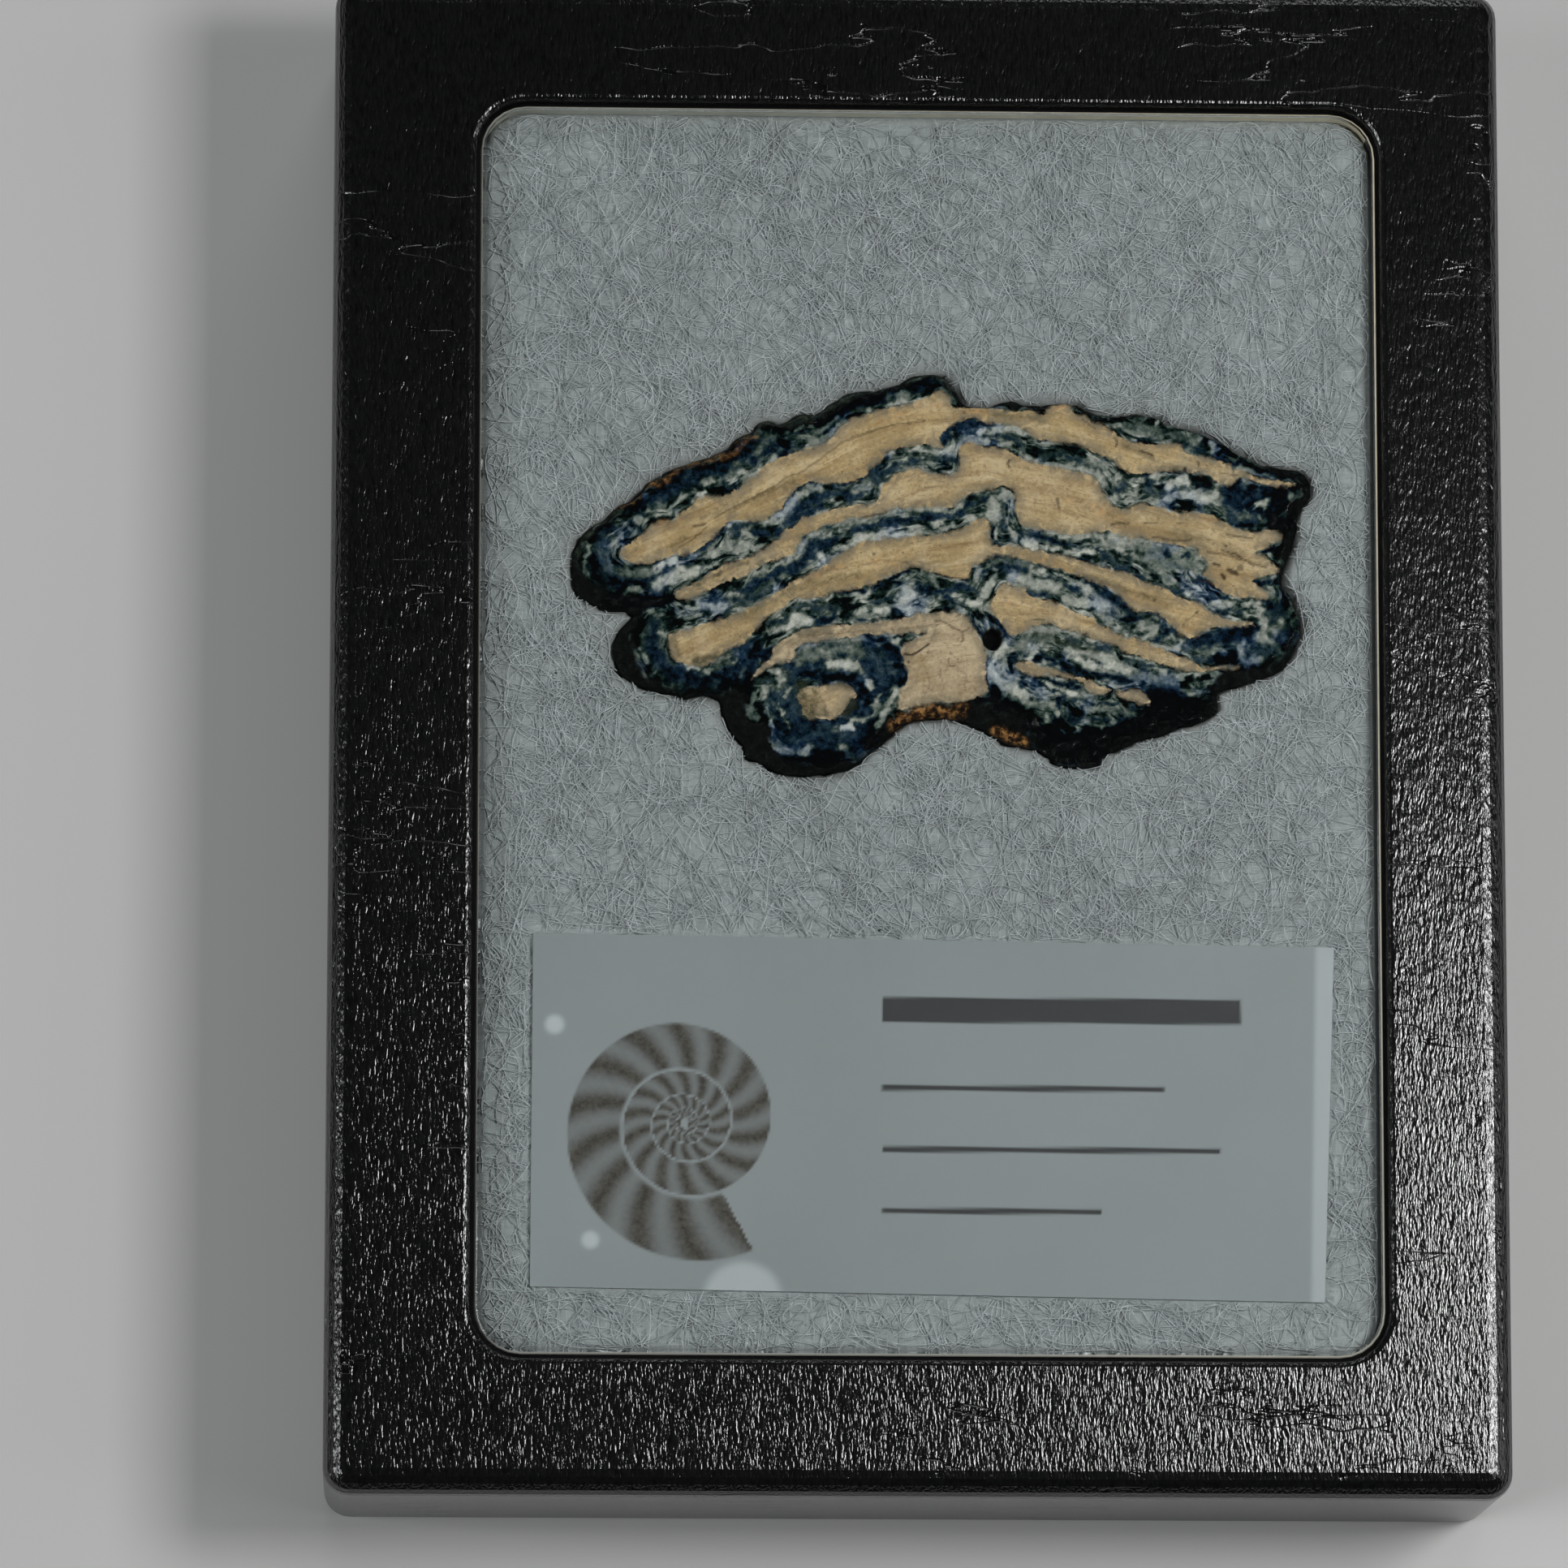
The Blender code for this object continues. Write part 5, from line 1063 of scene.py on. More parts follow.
def tray_board():
    """Black paper over board: matt, with a fine fibrous tooth."""
    made, tree = new_material("tray_board", Specular_IOR_Level=0.4)
    tooth = noise(tree, (5200, 1700, 5200), detail=4, roughness=0.65)
    colour = ramp(tree, tooth, [(0.3, (0.006, 0.006, 0.0065)), (0.7, (0.014, 0.014, 0.015))])
    rough = spread(tree, tooth, 0.3, 0.7, 0.5, 0.7)
    return join_to(made, Base_Color=colour, Roughness=rough, Normal=bump(tree, tooth, 0.00005, 0.6))


def clear_pane():
    """Clear formed plastic. Lamps shine straight through it, so what lies under it is lit plainly."""
    tint = (0.97, 0.98, 0.975, 1.0)
    made, tree = new_material("clear_pane", Base_Color=tint, Roughness=0.02, IOR=1.49,
                              Transmission_Weight=1.0)
    through = node(tree, "BsdfTransparent", {"Color": tint}).outputs[0]
    path = node(tree, "LightPath").outputs
    lamp_ray = maths(tree, "MAXIMUM", path["Is Shadow Ray"], path["Is Diffuse Ray"])
    clear = tree.nodes["Principled BSDF"].outputs[0]
    both = node(tree, "MixShader", {0: lamp_ray, 1: clear, 2: through}).outputs[0]
    tree.links.new(both, tree.nodes["Material Output"].inputs["Surface"])
    return made


def pane_edge_painted_highlight():
    """The pane's bent edge: a painted highlight, a milky cream colour standing in for the light the bend
    catches.
    """
    made, tree = new_material("pane_edge_painted_highlight", Roughness=0.28, IOR=1.49)
    place = node(tree, "SeparateXYZ", {0: object_place(tree, 1000)}).outputs
    # Painted highlight: the edge is lighter towards the right and the far side, where the light falls
    rightward = times(tree, spread(tree, place["X"], -30, 33), 0.55)
    upward = times(tree, spread(tree, place["Y"], -40, 45), 0.45)
    painted_glow = plus(tree, rightward, upward)
    colour = ramp(tree, painted_glow, [(0.0, (0.40, 0.40, 0.37)), (0.5, (0.60, 0.59, 0.50)),
                               (1.0, (0.85, 0.76, 0.56))])
    cloudy = noise(tree, 700, detail=3)
    colour = mixed(tree, spread(tree, cloudy, 0.35, 0.7, 0.0, 0.4), colour, (0.42, 0.42, 0.38))
    return join_to(made, Base_Color=colour)


def painted_shade_sheet():
    """A black sheet over the pane's flange: painted shade, which darkens the line in the lid's opening where
    the lip's shadow falls.
    """
    return new_material("painted_shade_sheet", Base_Color=(0.004, 0.004, 0.004, 1.0), Roughness=0.8,
                        Specular_IOR_Level=0.1)[0]


def fibre_fill():
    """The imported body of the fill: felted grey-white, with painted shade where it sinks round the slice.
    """
    made, tree = new_material("fibre_fill", Roughness=0.9, Specular_IOR_Level=0.15)
    cloud = noise(tree, 230, detail=4, roughness=0.6)
    felt_one = noise(tree, object_place(tree, (900, 6500, 900), (0, 0, 0.5)), detail=3, distortion=0.8)
    felt_two = noise(tree, object_place(tree, (6500, 900, 900), (0, 0, 0.2)), detail=3, distortion=0.8)
    felt = maths(tree, "MAXIMUM", felt_one, felt_two)
    base = ramp(tree, felt, [(0.38, (0.31, 0.34, 0.345)), (0.6, (0.42, 0.455, 0.46)),
                             (0.78, (0.54, 0.58, 0.585))])
    colour = mixed(tree, spread(tree, cloud, 0.3, 0.7, 0.0, 0.35), base, (0.34, 0.37, 0.37))
    # Painted shade: the fill turns dark brown-grey close round the slice, where its shadow falls
    colour = mixed(tree, attribute(tree, "painted_shade_round_slice"), colour, (0.13, 0.115, 0.09))
    return join_to(made, Base_Color=colour, Normal=bump(tree, felt, 0.0001, 0.6))


def strand_finish(name, dark, light):
    """A fibre: smooth, a little glossy, lighter and darker from one to the next."""
    made, tree = new_material(name, Roughness=0.5, Specular_IOR_Level=0.35)
    patch = noise(tree, 1200, detail=2)
    return join_to(made, Base_Color=ramp(tree, patch, [(0.35, dark), (0.65, light)]))


def card_paper():
    """Smooth white card with a printed ornament and ruled lines, a few pale soft spots, and a painted
    highlight along its right edge.
    """
    made, tree = new_material("card_paper", Roughness=0.6, Specular_IOR_Level=0.3)
    cloud = noise(tree, 45, detail=3)
    tooth = noise(tree, 6000, detail=3)
    paper = ramp(tree, cloud, [(0.3, (0.27, 0.297, 0.304)), (0.7, (0.30, 0.332, 0.34))])
    # Pale soft spots, and the painted highlight along the right edge
    paper = mixed(tree, attribute(tree, "pale_spots_and_edge_highlight"), paper, (0.62, 0.66, 0.68))
    fleck = noise(tree, 2600, detail=3, roughness=0.7)
    print_brown = ramp(tree, fleck, [(0.35, (0.028, 0.024, 0.018)), (0.68, (0.085, 0.077, 0.062))])
    colour = mixed(tree, attribute(tree, "ornament"), paper, print_brown)
    colour = mixed(tree, attribute(tree, "rules"), colour, (0.032, 0.033, 0.035))
    return join_to(made, Base_Color=colour, Normal=bump(tree, tooth, 0.00002, 0.25))


def polished_tooth():
    """Polished fossil tooth: cream dentine, marbled blue-black enamel, rough dark sides."""
    made, tree = new_material("polished_tooth", Specular_IOR_Level=0.04)
    dentine = attribute(tree, "dentine")
    drawn = attribute(tree, "drawn")
    across = attribute(tree, "across")
    x, y, _ = node(tree, "SeparateXYZ", {0: object_place(tree, 1000)}).outputs

    # Enamel: layers that run along the dentine's edge, marbling, and the drawn veins
    fine = noise(tree, 2600, detail=4, roughness=0.7)
    ribbon_place = vector(tree, X=times(tree, x, 0.6), Y=times(tree, y, 0.6), Z=times(tree, dentine, 1.5))
    ribbon = noise(tree, ribbon_place, detail=3, roughness=0.55, distortion=0.5)
    marble = noise(tree, 900, detail=5, roughness=0.62, distortion=0.9)
    marbling = minus(tree, marble, 0.5)
    base_tone = plus(tree, spread(tree, ribbon, 0.36, 0.62, 0.2, 1.0), times(tree, marbling, 0.95))
    drawn_tone = plus(tree, attribute(tree, "tone"), times(tree, marbling, 0.75))
    blend = node(tree, "Mix", {0: drawn, 2: base_tone, 3: drawn_tone}, data_type="FLOAT").outputs[0]
    grain = times(tree, minus(tree, fine, 0.5), 0.75)
    tone = plus(tree, plus(tree, blend, grain), attribute(tree, "shade"), clamp=True)
    green = ramp(tree, tone, [
        (0.0, (0.62, 0.62, 0.55)), (0.14, (0.44, 0.45, 0.395)), (0.28, (0.295, 0.31, 0.27)),
        (0.42, (0.165, 0.19, 0.165)), (0.56, (0.078, 0.102, 0.088)), (0.7, (0.026, 0.046, 0.037)),
        (0.82, (0.006, 0.018, 0.015)), (0.92, (0.001, 0.005, 0.005)), (1.0, (0.0004, 0.0008, 0.0008)),
    ])
    blue = ramp(tree, tone, [
        (0.0, (0.58, 0.61, 0.62)), (0.14, (0.40, 0.435, 0.45)), (0.28, (0.26, 0.30, 0.33)),
        (0.42, (0.135, 0.175, 0.215)), (0.56, (0.06, 0.092, 0.128)), (0.7, (0.018, 0.042, 0.076)),
        (0.82, (0.004, 0.017, 0.042)), (0.92, (0.001, 0.005, 0.013)), (1.0, (0.0004, 0.0008, 0.0014)),
    ])
    hue = noise(tree, 360, detail=3, roughness=0.6)
    navy = times(tree, drawn, spread(tree, attribute(tree, "tone"), 0.6, 0.8, 0.0, 0.75))
    enamel = mixed(tree, maths(tree, "MAXIMUM", navy, spread(tree, hue, 0.48, 0.66)), green, blue)

    # Dentine: lengthwise streaks, hairlines, grain, small pits, and a dull worn margin
    streak_place = vector(tree, X=times(tree, x, 0.16), Y=times(tree, across, 1.3))
    streak = noise(tree, streak_place, detail=5, roughness=0.62, distortion=0.4)
    cream = ramp(tree, streak, [(0.3, (0.30, 0.185, 0.075)), (0.42, (0.46, 0.315, 0.14)),
                                (0.55, (0.61, 0.44, 0.215)), (0.72, (0.73, 0.57, 0.335))])
    pinkish = ramp(tree, streak, [(0.32, (0.40, 0.29, 0.175)), (0.68, (0.68, 0.54, 0.355))])
    cream = mixed(tree, attribute(tree, "pinkness"), cream, pinkish)
    hairline_place = vector(tree, X=times(tree, x, 0.5), Y=times(tree, across, 5.0))
    hairline = noise(tree, hairline_place, detail=2, distortion=0.6)
    line = spread(tree, apart(tree, hairline, 0.5), 0.0, 0.025, 0.6, 0.0)
    cream = mixed(tree, line, cream, (0.27, 0.165, 0.085))
    speckle = noise(tree, 3600, detail=3, roughness=0.7)
    cream = mixed(tree, spread(tree, speckle, 0.34, 0.48, 0.5, 0.0), cream, (0.2, 0.15, 0.09))
    cream = mixed(tree, spread(tree, speckle, 0.52, 0.7, 0.0, 0.3), cream, (0.8, 0.67, 0.48))
    cloud = noise(tree, 300, detail=4, roughness=0.65)
    cream = mixed(tree, spread(tree, cloud, 0.5, 0.66, 0.0, 0.55), cream, (0.36, 0.25, 0.12))
    cream = mixed(tree, spread(tree, cloud, 0.34, 0.5, 0.4, 0.0), cream, (0.70, 0.56, 0.37))

    pit_noise = noise(tree, 1500, detail=4, roughness=0.75)
    cream = mixed(tree, spread(tree, pit_noise, 0.28, 0.36, 0.8, 0.0), cream, (0.09, 0.06, 0.035))
    chips = noise(tree, 2100, detail=5, roughness=0.75)
    ragged = plus(tree, dentine, times(tree, minus(tree, chips, 0.5), 0.7))
    worn = times(tree, spread(tree, ragged, 0.0, 1.0, 0.85, 0.0), spread(tree, marble, 0.36, 0.56))
    cream = mixed(tree, worn, cream, (0.22, 0.185, 0.13))
    softness = spread(tree, marble, 0.4, 0.6, 0.04, 0.2)
    is_dentine = spread(tree, ragged, times(tree, softness, -1.0), softness)
    near_edge = spread(tree, maths(tree, "ABSOLUTE", plus(tree, ragged, 0.08)), 0.02, 0.1, 0.45, 0.0)
    breakup = spread(tree, noise(tree, 700, detail=2), 0.45, 0.6)
    enamel = mixed(tree, times(tree, near_edge, breakup), enamel, (0.004, 0.005, 0.008))
    colour = mixed(tree, is_dentine, enamel, cream)
    stained = times(tree, attribute(tree, "stain"), spread(tree, chips, 0.38, 0.56, 0.5, 1.0))
    colour = mixed(tree, stained, colour, (0.035, 0.04, 0.02))

    # Iron stains, the rough dark rim and sides, and cracks
    rust_noise = spread(tree, noise(tree, 1900, detail=4), 0.36, 0.62)
    rust_colour = ramp(tree, rust_noise, [(0.0, (0.035, 0.016, 0.008)), (0.5, (0.36, 0.17, 0.06)),
                                          (1.0, (0.74, 0.37, 0.12))])
    rim = attribute(tree, "rim")
    side_noise = noise(tree, 1700, detail=5, roughness=0.7)
    side_tone = plus(tree, side_noise, spread(tree, across, 0.5, 3.0, 0.0, 0.2))
    side_colour = ramp(tree, side_tone, [(0.4, (0.0005, 0.0007, 0.0007)), (0.6, (0.003, 0.0045, 0.0035)),
                                         (0.7, (0.012, 0.02, 0.015)), (0.85, (0.06, 0.07, 0.05))])
    colour = mixed(tree, rim, colour, side_colour)
    rusted = times(tree, attribute(tree, "rust"), spread(tree, side_noise, 0.42, 0.56, 0.1, 1.0))
    colour = mixed(tree, rusted, colour, rust_colour)
    crack = attribute(tree, "crack")
    colour = mixed(tree, crack, colour, (0.022, 0.014, 0.01))

    rough = plus(tree, spread(tree, fine, 0.3, 0.7, 0.12, 0.2), times(tree, rim, 0.5))
    rough_height = times(tree, side_noise, rim)
    normal = bump(tree, rough_height, 0.00035, 0.8)
    polish = minus(tree, times(tree, is_dentine, -0.25), crack)
    normal = bump(tree, polish, 0.00003, 0.5, normal)
    return join_to(made, Base_Color=colour, Roughness=rough, Normal=normal)


def painted(sheet, strokes, soft, spreading=0.0, fray=0.0):
    """A field with these strokes painted in, wider strokes softer by their share of spreading."""
    field = sheet.blank()
    for strength, half_width, *points in strokes:
        sheet.brush(field, points, half_width, 1.0, strength, soft + spreading * half_width, fray)
    return field


def slice_fields():
    """Everything that is drawn on the tooth's face, measured on a fine lattice."""
    sheet = Lattice(SHEET_LOW, SHEET_HIGH, SHEET_STEP, SHEET_WANDER)
    outer = sheet.signed(SLICE_OUTLINE, 3.0)
    face = sheet.signed(FACE_OUTLINE, 3.0)
    pit = sheet.signed(PIT_OUTLINE, 1.0)
    dentine = sheet.blank(-4.0)
    pinkness = sheet.blank(0.3)
    for outline, pink in DENTINE:
        patch = sheet.signed(outline, 4.0)
        dentine = np.maximum(dentine, patch)
        pinkness = np.where(patch > -0.3, pink, pinkness)
    tone = sheet.blank(0.55)
    drawn = sheet.blank()
    for outline in CEMENT:
        dark = soft_step((sheet.signed(outline, 1.0) + 0.3) / 0.5)
        tone += dark * (0.97 - tone)
        drawn = np.maximum(drawn, dark)
    for value, half_width, *points in VEINS:
        soft = 0.09 + 0.5 * half_width
        sheet.brush(tone, points, half_width, value, 0.96, soft, 0.45)
        sheet.brush(drawn, points, half_width + 0.05, 1.0, 1.0, soft, 0.45)
    return sheet, {"outer": outer, "face": face, "pit": pit, "dentine": dentine, "pinkness": pinkness,
                   "tone": tone, "drawn": drawn, "rust": painted(sheet, RUST, 0.28),
                   "crack": painted(sheet, CRACKS, 0.07), "stain": painted(sheet, STAINS, 0.12, 0.5, 0.3)}


def trim_slice(tooth, sheet, outer):
    """Cut the grid down to the traced outline and draw its border onto it."""
    outline = smooth_line(SLICE_OUTLINE, closed=True)
    outline += 0.16 * np.column_stack([rough_noise(*outline.T, 0.5, 61), rough_noise(*outline.T, 0.5, 67)])
    outline = closed_line(outline)
    mesh = tooth.data
    point = places(mesh)
    kept = sheet.sample(outer, point[:, 0], point[:, 1]) > -0.02
    corners = np.empty(len(mesh.loops), int)
    mesh.loops.foreach_get("vertex_index", corners)
    outside = ~kept[corners].reshape(len(mesh.polygons), -1).all(1)
    delete_faces(tooth, outside)

    # Loose corners left by the trimming are dropped, then the border is drawn onto the outline
    shape = bmesh.new()
    shape.from_mesh(mesh)
    while True:
        weak = [face for face in shape.faces
                if sum(edge.is_boundary for edge in face.edges) > 2]
        pinched = [vert for vert in shape.verts
                   if sum(edge.is_boundary for edge in vert.link_edges) > 2]
        if not weak and not pinched:
            break
        loose = set(weak)
        for vert in pinched:
            loose.update(vert.link_faces)
        bmesh.ops.delete(shape, geom=list(loose), context="FACES")
    border = [vert for vert in shape.verts if vert.is_boundary]
    for vert in border:
        here = np.array(vert.co.xy) / MM
        starts, ends = outline[:-1], outline[1:]
        along = ends - starts
        squared = np.maximum((along ** 2).sum(1), 1e-9)
        part = np.clip(((here - starts) * along).sum(1) / squared, 0, 1)
        spots = starts + part[:, None] * along
        nearest = spots[np.argmin(((here - spots) ** 2).sum(1))]
        vert.co.xy = nearest * MM
    near_border = set(border)
    for _ in range(3):
        near_border |= {edge.other_vert(vert) for vert in list(near_border) for edge in vert.link_edges}
    loose = [vert for vert in near_border if not vert.is_boundary]
    for _ in range(4):
        bmesh.ops.smooth_vert(shape, verts=loose, factor=0.5, use_axis_x=True, use_axis_y=True)
    shape.to_mesh(mesh)
    shape.free()


def shape_face(mesh, sheet, field):
    """Bend the face down to its ragged shoulder, and sink its small hole."""
    point = places(mesh)
    x, y = point[:, 0], point[:, 1]
    outer = np.maximum(sheet.sample(field["outer"], x, y), 0.0)
    face = sheet.sample(field["face"], x, y)
    pit = sheet.sample(field["pit"], x, y)
    slope = np.clip(-face / np.maximum(outer - face, 0.05), 0.0, 1.0)
    lumps = rough_noise(x, y, 1.1, 31, octaves=4)
    drop = (SLICE_FACE - SLICE_SHOULDER) * slope ** 0.8
    ragged = np.sin(np.pi * np.clip(slope, 0, 1)) * 0.9 * lumps
    hollow = PIT_DEPTH * soft_step((pit + 0.1) / 0.35)
    point[:, 2] = np.minimum(SLICE_FACE - drop - hollow + np.minimum(ragged, drop), SLICE_FACE)
    set_places(mesh, point)


def shape_sides(tooth):
    """Draw the sides down, close the slice below and roughen the sides. Returns the mesh's points."""
    select_border(tooth)
    centre = (SLICE_CENTRE[0] * MM, SLICE_CENTRE[1] * MM, 0.0)
    shrink = SLICE_TAPER ** (1 / len(SLICE_LEVELS))
    for level, lower in zip((SLICE_SHOULDER, *SLICE_LEVELS), SLICE_LEVELS):
        draw_down(level - lower)
        bpy.ops.transform.resize(value=(shrink, shrink, 1.0), center_override=centre)
    close_below()

    mesh = tooth.data
    point = places(mesh)
    x, y, z = point.T
    side = z < SLICE_SHOULDER - 0.05
    middle = (z > SLICE_BOTTOM + 0.05) & side
    wobble = 0.25 * rough_noise(x * 1.3 + z * 2.0, y * 1.3 - z * 2.0, 0.9, 53, octaves=3)
    outward = point[:, :2] - np.array(SLICE_CENTRE)
    outward /= np.linalg.norm(outward, axis=1)[:, None]
    point[:, :2] -= np.where(middle, np.abs(wobble), 0.0)[:, None] * outward
    set_places(mesh, point)
    return point


def paint_slice(mesh, sheet, field, point):
    """Keep what is drawn on the face in the mesh's points, for the material."""
    x, y, z = point.T
    side = z < SLICE_SHOULDER - 0.05
    for name in ("dentine", "pinkness", "tone", "drawn", "rust", "crack", "stain"):
        values = sheet.sample(field[name], x, y)
        store(mesh, name, np.where(side & (name == "crack"), 0.0, values))
    slope = -sheet.sample(field["face"], x, y) + 0.35 * rough_noise(x, y, 0.8, 71)
    rim = soft_step((slope - 0.05) / 0.35) * (1 - 0.85 * sheet.sample(field["drawn"], x, y))
    rim = np.where(side, 1.0, rim)
    rim = np.maximum(rim, soft_step((sheet.sample(field["pit"], x, y) + 0.08) / 0.16))
    store(mesh, "rim", rim)
    arch_x, arch_y = np.array(ARCH).reshape(-1, 2).T
    store(mesh, "across", y - np.interp(x, arch_x, arch_y))
    outer_shade = np.exp(-np.maximum(sheet.sample(field["face"], x, y), 0.0) / 0.8)
    store(mesh, "shade", 0.36 * outer_shade * (0.5 + value_noise(x, y, 0.8, 91)))


def make_slice():
    """A fine grid trimmed to the traced outline, with its sides drawn down and closed below."""
    sheet, field = slice_fields()
    grid = (sheet.columns - 1, sheet.rows - 1)
    middle = sheet.low + 0.5 * sheet.step * np.array(grid)
    tooth = new_grid("tooth_slice", grid, grid[0] * sheet.step, grid[1] * sheet.step,
                     (*middle, SLICE_FACE), polished_tooth())
    trim_slice(tooth, sheet, field["outer"])
    shape_face(tooth.data, sheet, field)
    paint_slice(tooth.data, sheet, field, shape_sides(tooth))
    smooth_shading(tooth, 55)
    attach(tooth, "root")
    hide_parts("molar_slice")
    return sheet, field["outer"]


def spiral_shell(x, y, centre, radius):
    """A generic coiled-shell ornament: whorls that grow by a fixed share, with curved ribs."""
    growth = math.log(1.9) / (2 * math.pi)
    away = np.maximum(np.hypot(x - centre[0], y - centre[1]), 0.05)
    start = math.radians(-62)
    back = np.mod(start - np.arctan2(y - centre[1], x - centre[0]), 2 * math.pi)
    ink = np.zeros(x.shape)
    for turn in range(5):
        angle = back + 2 * math.pi * turn
        outer = radius * np.exp(-growth * angle)
        inner = outer * math.exp(-growth * 2 * math.pi)
        part = (away - inner) / (outer - inner)
        within = soft_step(part / 0.09) * soft_step((1 - part) / 0.05)
        ribs = 0.72 + 0.28 * np.sin(14 * angle + 2.6 * np.clip(part, 0, 1) ** 1.5)
        ink = np.maximum(ink, np.where((part > 0) & (part < 1), within * ribs, 0.0))
    mouth = soft_step((radius * 1.02 - away) / 0.2)
    return ink * mouth


def make_card():
    """The paper card: a thin sheet, a little bowed, with its print, its pale spots and a painted highlight
    along its right edge.
    """
    card = new_grid("paper_card", CARD_GRID, 1000.0, 1000.0, (0.0, 0.0, 0.0), card_paper())
    mesh = card.data
    point = places(mesh) * MM
    along, up = point[:, 0] + 0.5, point[:, 1] + 0.5
    near = np.outer(1 - along, CARD_NEAR_LEFT) + np.outer(along, CARD_NEAR_RIGHT)
    far = np.outer(1 - along, CARD_FAR_LEFT) + np.outer(along, CARD_FAR_RIGHT)
    flat = near * (1 - up)[:, None] + far * up[:, None]
    bow = 0.06 * np.sin(np.pi * along) + 0.05 * np.cos(2.2 * np.pi * up) * (along - 0.5) ** 2 - 0.07
    point = np.column_stack([flat, CARD_TOP + np.minimum(bow, 0.0)])
    set_places(mesh, point)
    select_border(card)
    draw_down(CARD_THICKNESS)
    close_below()
    x, y, z = places(mesh).T
    top = z > CARD_TOP - 0.2
    store(mesh, "ornament", np.where(top, spiral_shell(x, y, SHELL_CENTRE, SHELL_RADIUS), 0.0))
    rules = np.zeros(len(x))
    for row, right, thick in RULES:
        bar = np.minimum(np.minimum(x - RULES_LEFT, right - x), thick - np.abs(y - row))
        rules = np.maximum(rules, soft_step((bar + 0.06) / 0.12))
    store(mesh, "rules", np.where(top, rules, 0.0))
    spots = np.zeros(len(x))
    for spot_x, spot_y, radius, strength in PALE_SPOTS:
        away = np.hypot(x - spot_x, y - spot_y) / radius
        spots = np.maximum(spots, strength * soft_step(1.6 - away))
    dome = np.hypot(x + 12.5, (y + 40.6) * 1.1)
    spots = np.maximum(spots, 0.55 * soft_step((3.2 - dome) / 1.0))
    # Painted highlight: the card's right edge is painted lighter, where the light from the right catches it
    painted_edge_highlight = 0.45 * soft_step((x - 27.9 - 0.02 * (y + 28)) / 0.5)
    store(mesh, "pale_spots_and_edge_highlight", np.where(top, np.maximum(spots, painted_edge_highlight), 0.0))
    smooth_shading(card, 50)
    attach(card, "root")
    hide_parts("label_card")


def card_gap(x, y):
    """Signed distance to the card's edge, positive inside it."""
    corners = [CARD_NEAR_LEFT, CARD_NEAR_RIGHT, CARD_FAR_RIGHT, CARD_FAR_LEFT]
    result = np.full(np.shape(x), 99.0)
    for (x0, y0), (x1, y1) in zip(corners, corners[1:] + corners[:1]):
        length = math.hypot(x1 - x0, y1 - y0)
        side = ((x1 - x0) * (y - y0) - (y1 - y0) * (x - x0)) / length
        result = np.minimum(result, side)
    return result


def pad_height(x, y, slice_gap):
    """The fill's top: level under the pane, sunk round the slice and a little under the card."""
    swell = 0.10 * rough_noise(x, y, 9.0, 11, octaves=3)
    crest = PAD_CREST + swell
    crest = np.where(card_gap(x, y) > -1.2, np.minimum(crest, 16.80), crest)
    outside = np.maximum(-slice_gap, 0.0)
    sunk = crest - PAD_SINK * np.exp(-outside / 0.8)
    inner = soft_step(slice_gap / 0.9 + 0.15)
    top = sunk * (1 - inner) + SOCKET_FLOOR * inner
    edge = soft_step((rounded_gap(x, y, HOLLOW_WIDTH, HOLLOW_LENGTH, HOLLOW_RADIUS) + 0.1) / 0.5)
    return PAD_SHOULDER + edge * (top - PAD_SHOULDER)


def make_pad(sheet, outer):
    """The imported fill, from the tray's floor to the pane, with a hollow that the slice lies in."""
    pad = new_grid("fibre_fill", PAD_GRID, PAD_WIDTH, PAD_LENGTH, (0.0, 0.0, 0.0), fibre_fill())
    mesh = pad.data
    select_border(pad)
    for _ in PAD_LEVELS:
        draw_down(1.0)
    close_below()

    # The rings drawn down in steps of 1 mm are moved to their levels here, and the top to its height
    point = places(mesh)
    x, y, z = point.T.copy()
    gap = slice_gap_at(sheet, outer, x, y)
    top = pad_height(x, y, gap)
    rings = [-4.0, -3.0, -2.0, -1.0]
    levels = np.interp(z, rings, PAD_LEVELS[::-1])
    sides = z < -0.5
    point[:, 2] = np.where(sides, levels, np.minimum(top, PANE_UNDERSIDE - 0.05))
    bulge = np.where(sides, -0.5 * np.abs(np.interp(z, rings, [1.6, 0.0, 0.0, 0.6])), 0.0)
    edge = np.maximum(np.abs(x) / (PAD_WIDTH / 2), np.abs(y) / (PAD_LENGTH / 2)) > 0.999
    point[:, 0] += np.where(edge, np.sign(x) * (bulge - 0.3), 0.0) * (np.abs(x) > PAD_WIDTH / 2 - 0.1)
    point[:, 1] += np.where(edge, np.sign(y) * (bulge - 0.3), 0.0) * (np.abs(y) > PAD_LENGTH / 2 - 0.1)
    set_places(mesh, point)
    # Painted shade round the slice, strongest at its edge and fading within about a millimetre
    store(mesh, "painted_shade_round_slice", 0.5 * np.exp(-np.maximum(-gap, 0.0) / 0.5))
    mesh.shade_smooth()
    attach(pad, "root")
    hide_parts("fibre_pad")


def slice_gap_at(sheet, outer, x, y):
    """Signed distance to the slice's outline, also beyond the lattice it was measured on."""
    inside = sheet.sample(outer, x, y)
    high = sheet.low + sheet.step * np.array([sheet.columns - 1, sheet.rows - 1])
    beyond = np.hypot(np.maximum(np.maximum(sheet.low[0] - x, x - high[0]), 0),
                      np.maximum(np.maximum(sheet.low[1] - y, y - high[1]), 0))
    return inside - beyond


def longest_run(good):
    """The first and last place of the longest unbroken stretch, or None if it is short."""
    best, start = (0, 0), None
    for index, value in enumerate(list(good) + [False]):
        if value and start is None:
            start = index
        if not value and start is not None:
            if index - start > best[1] - best[0]:
                best = (start, index)
            start = None
    return best if best[1] - best[0] >= 4 else None


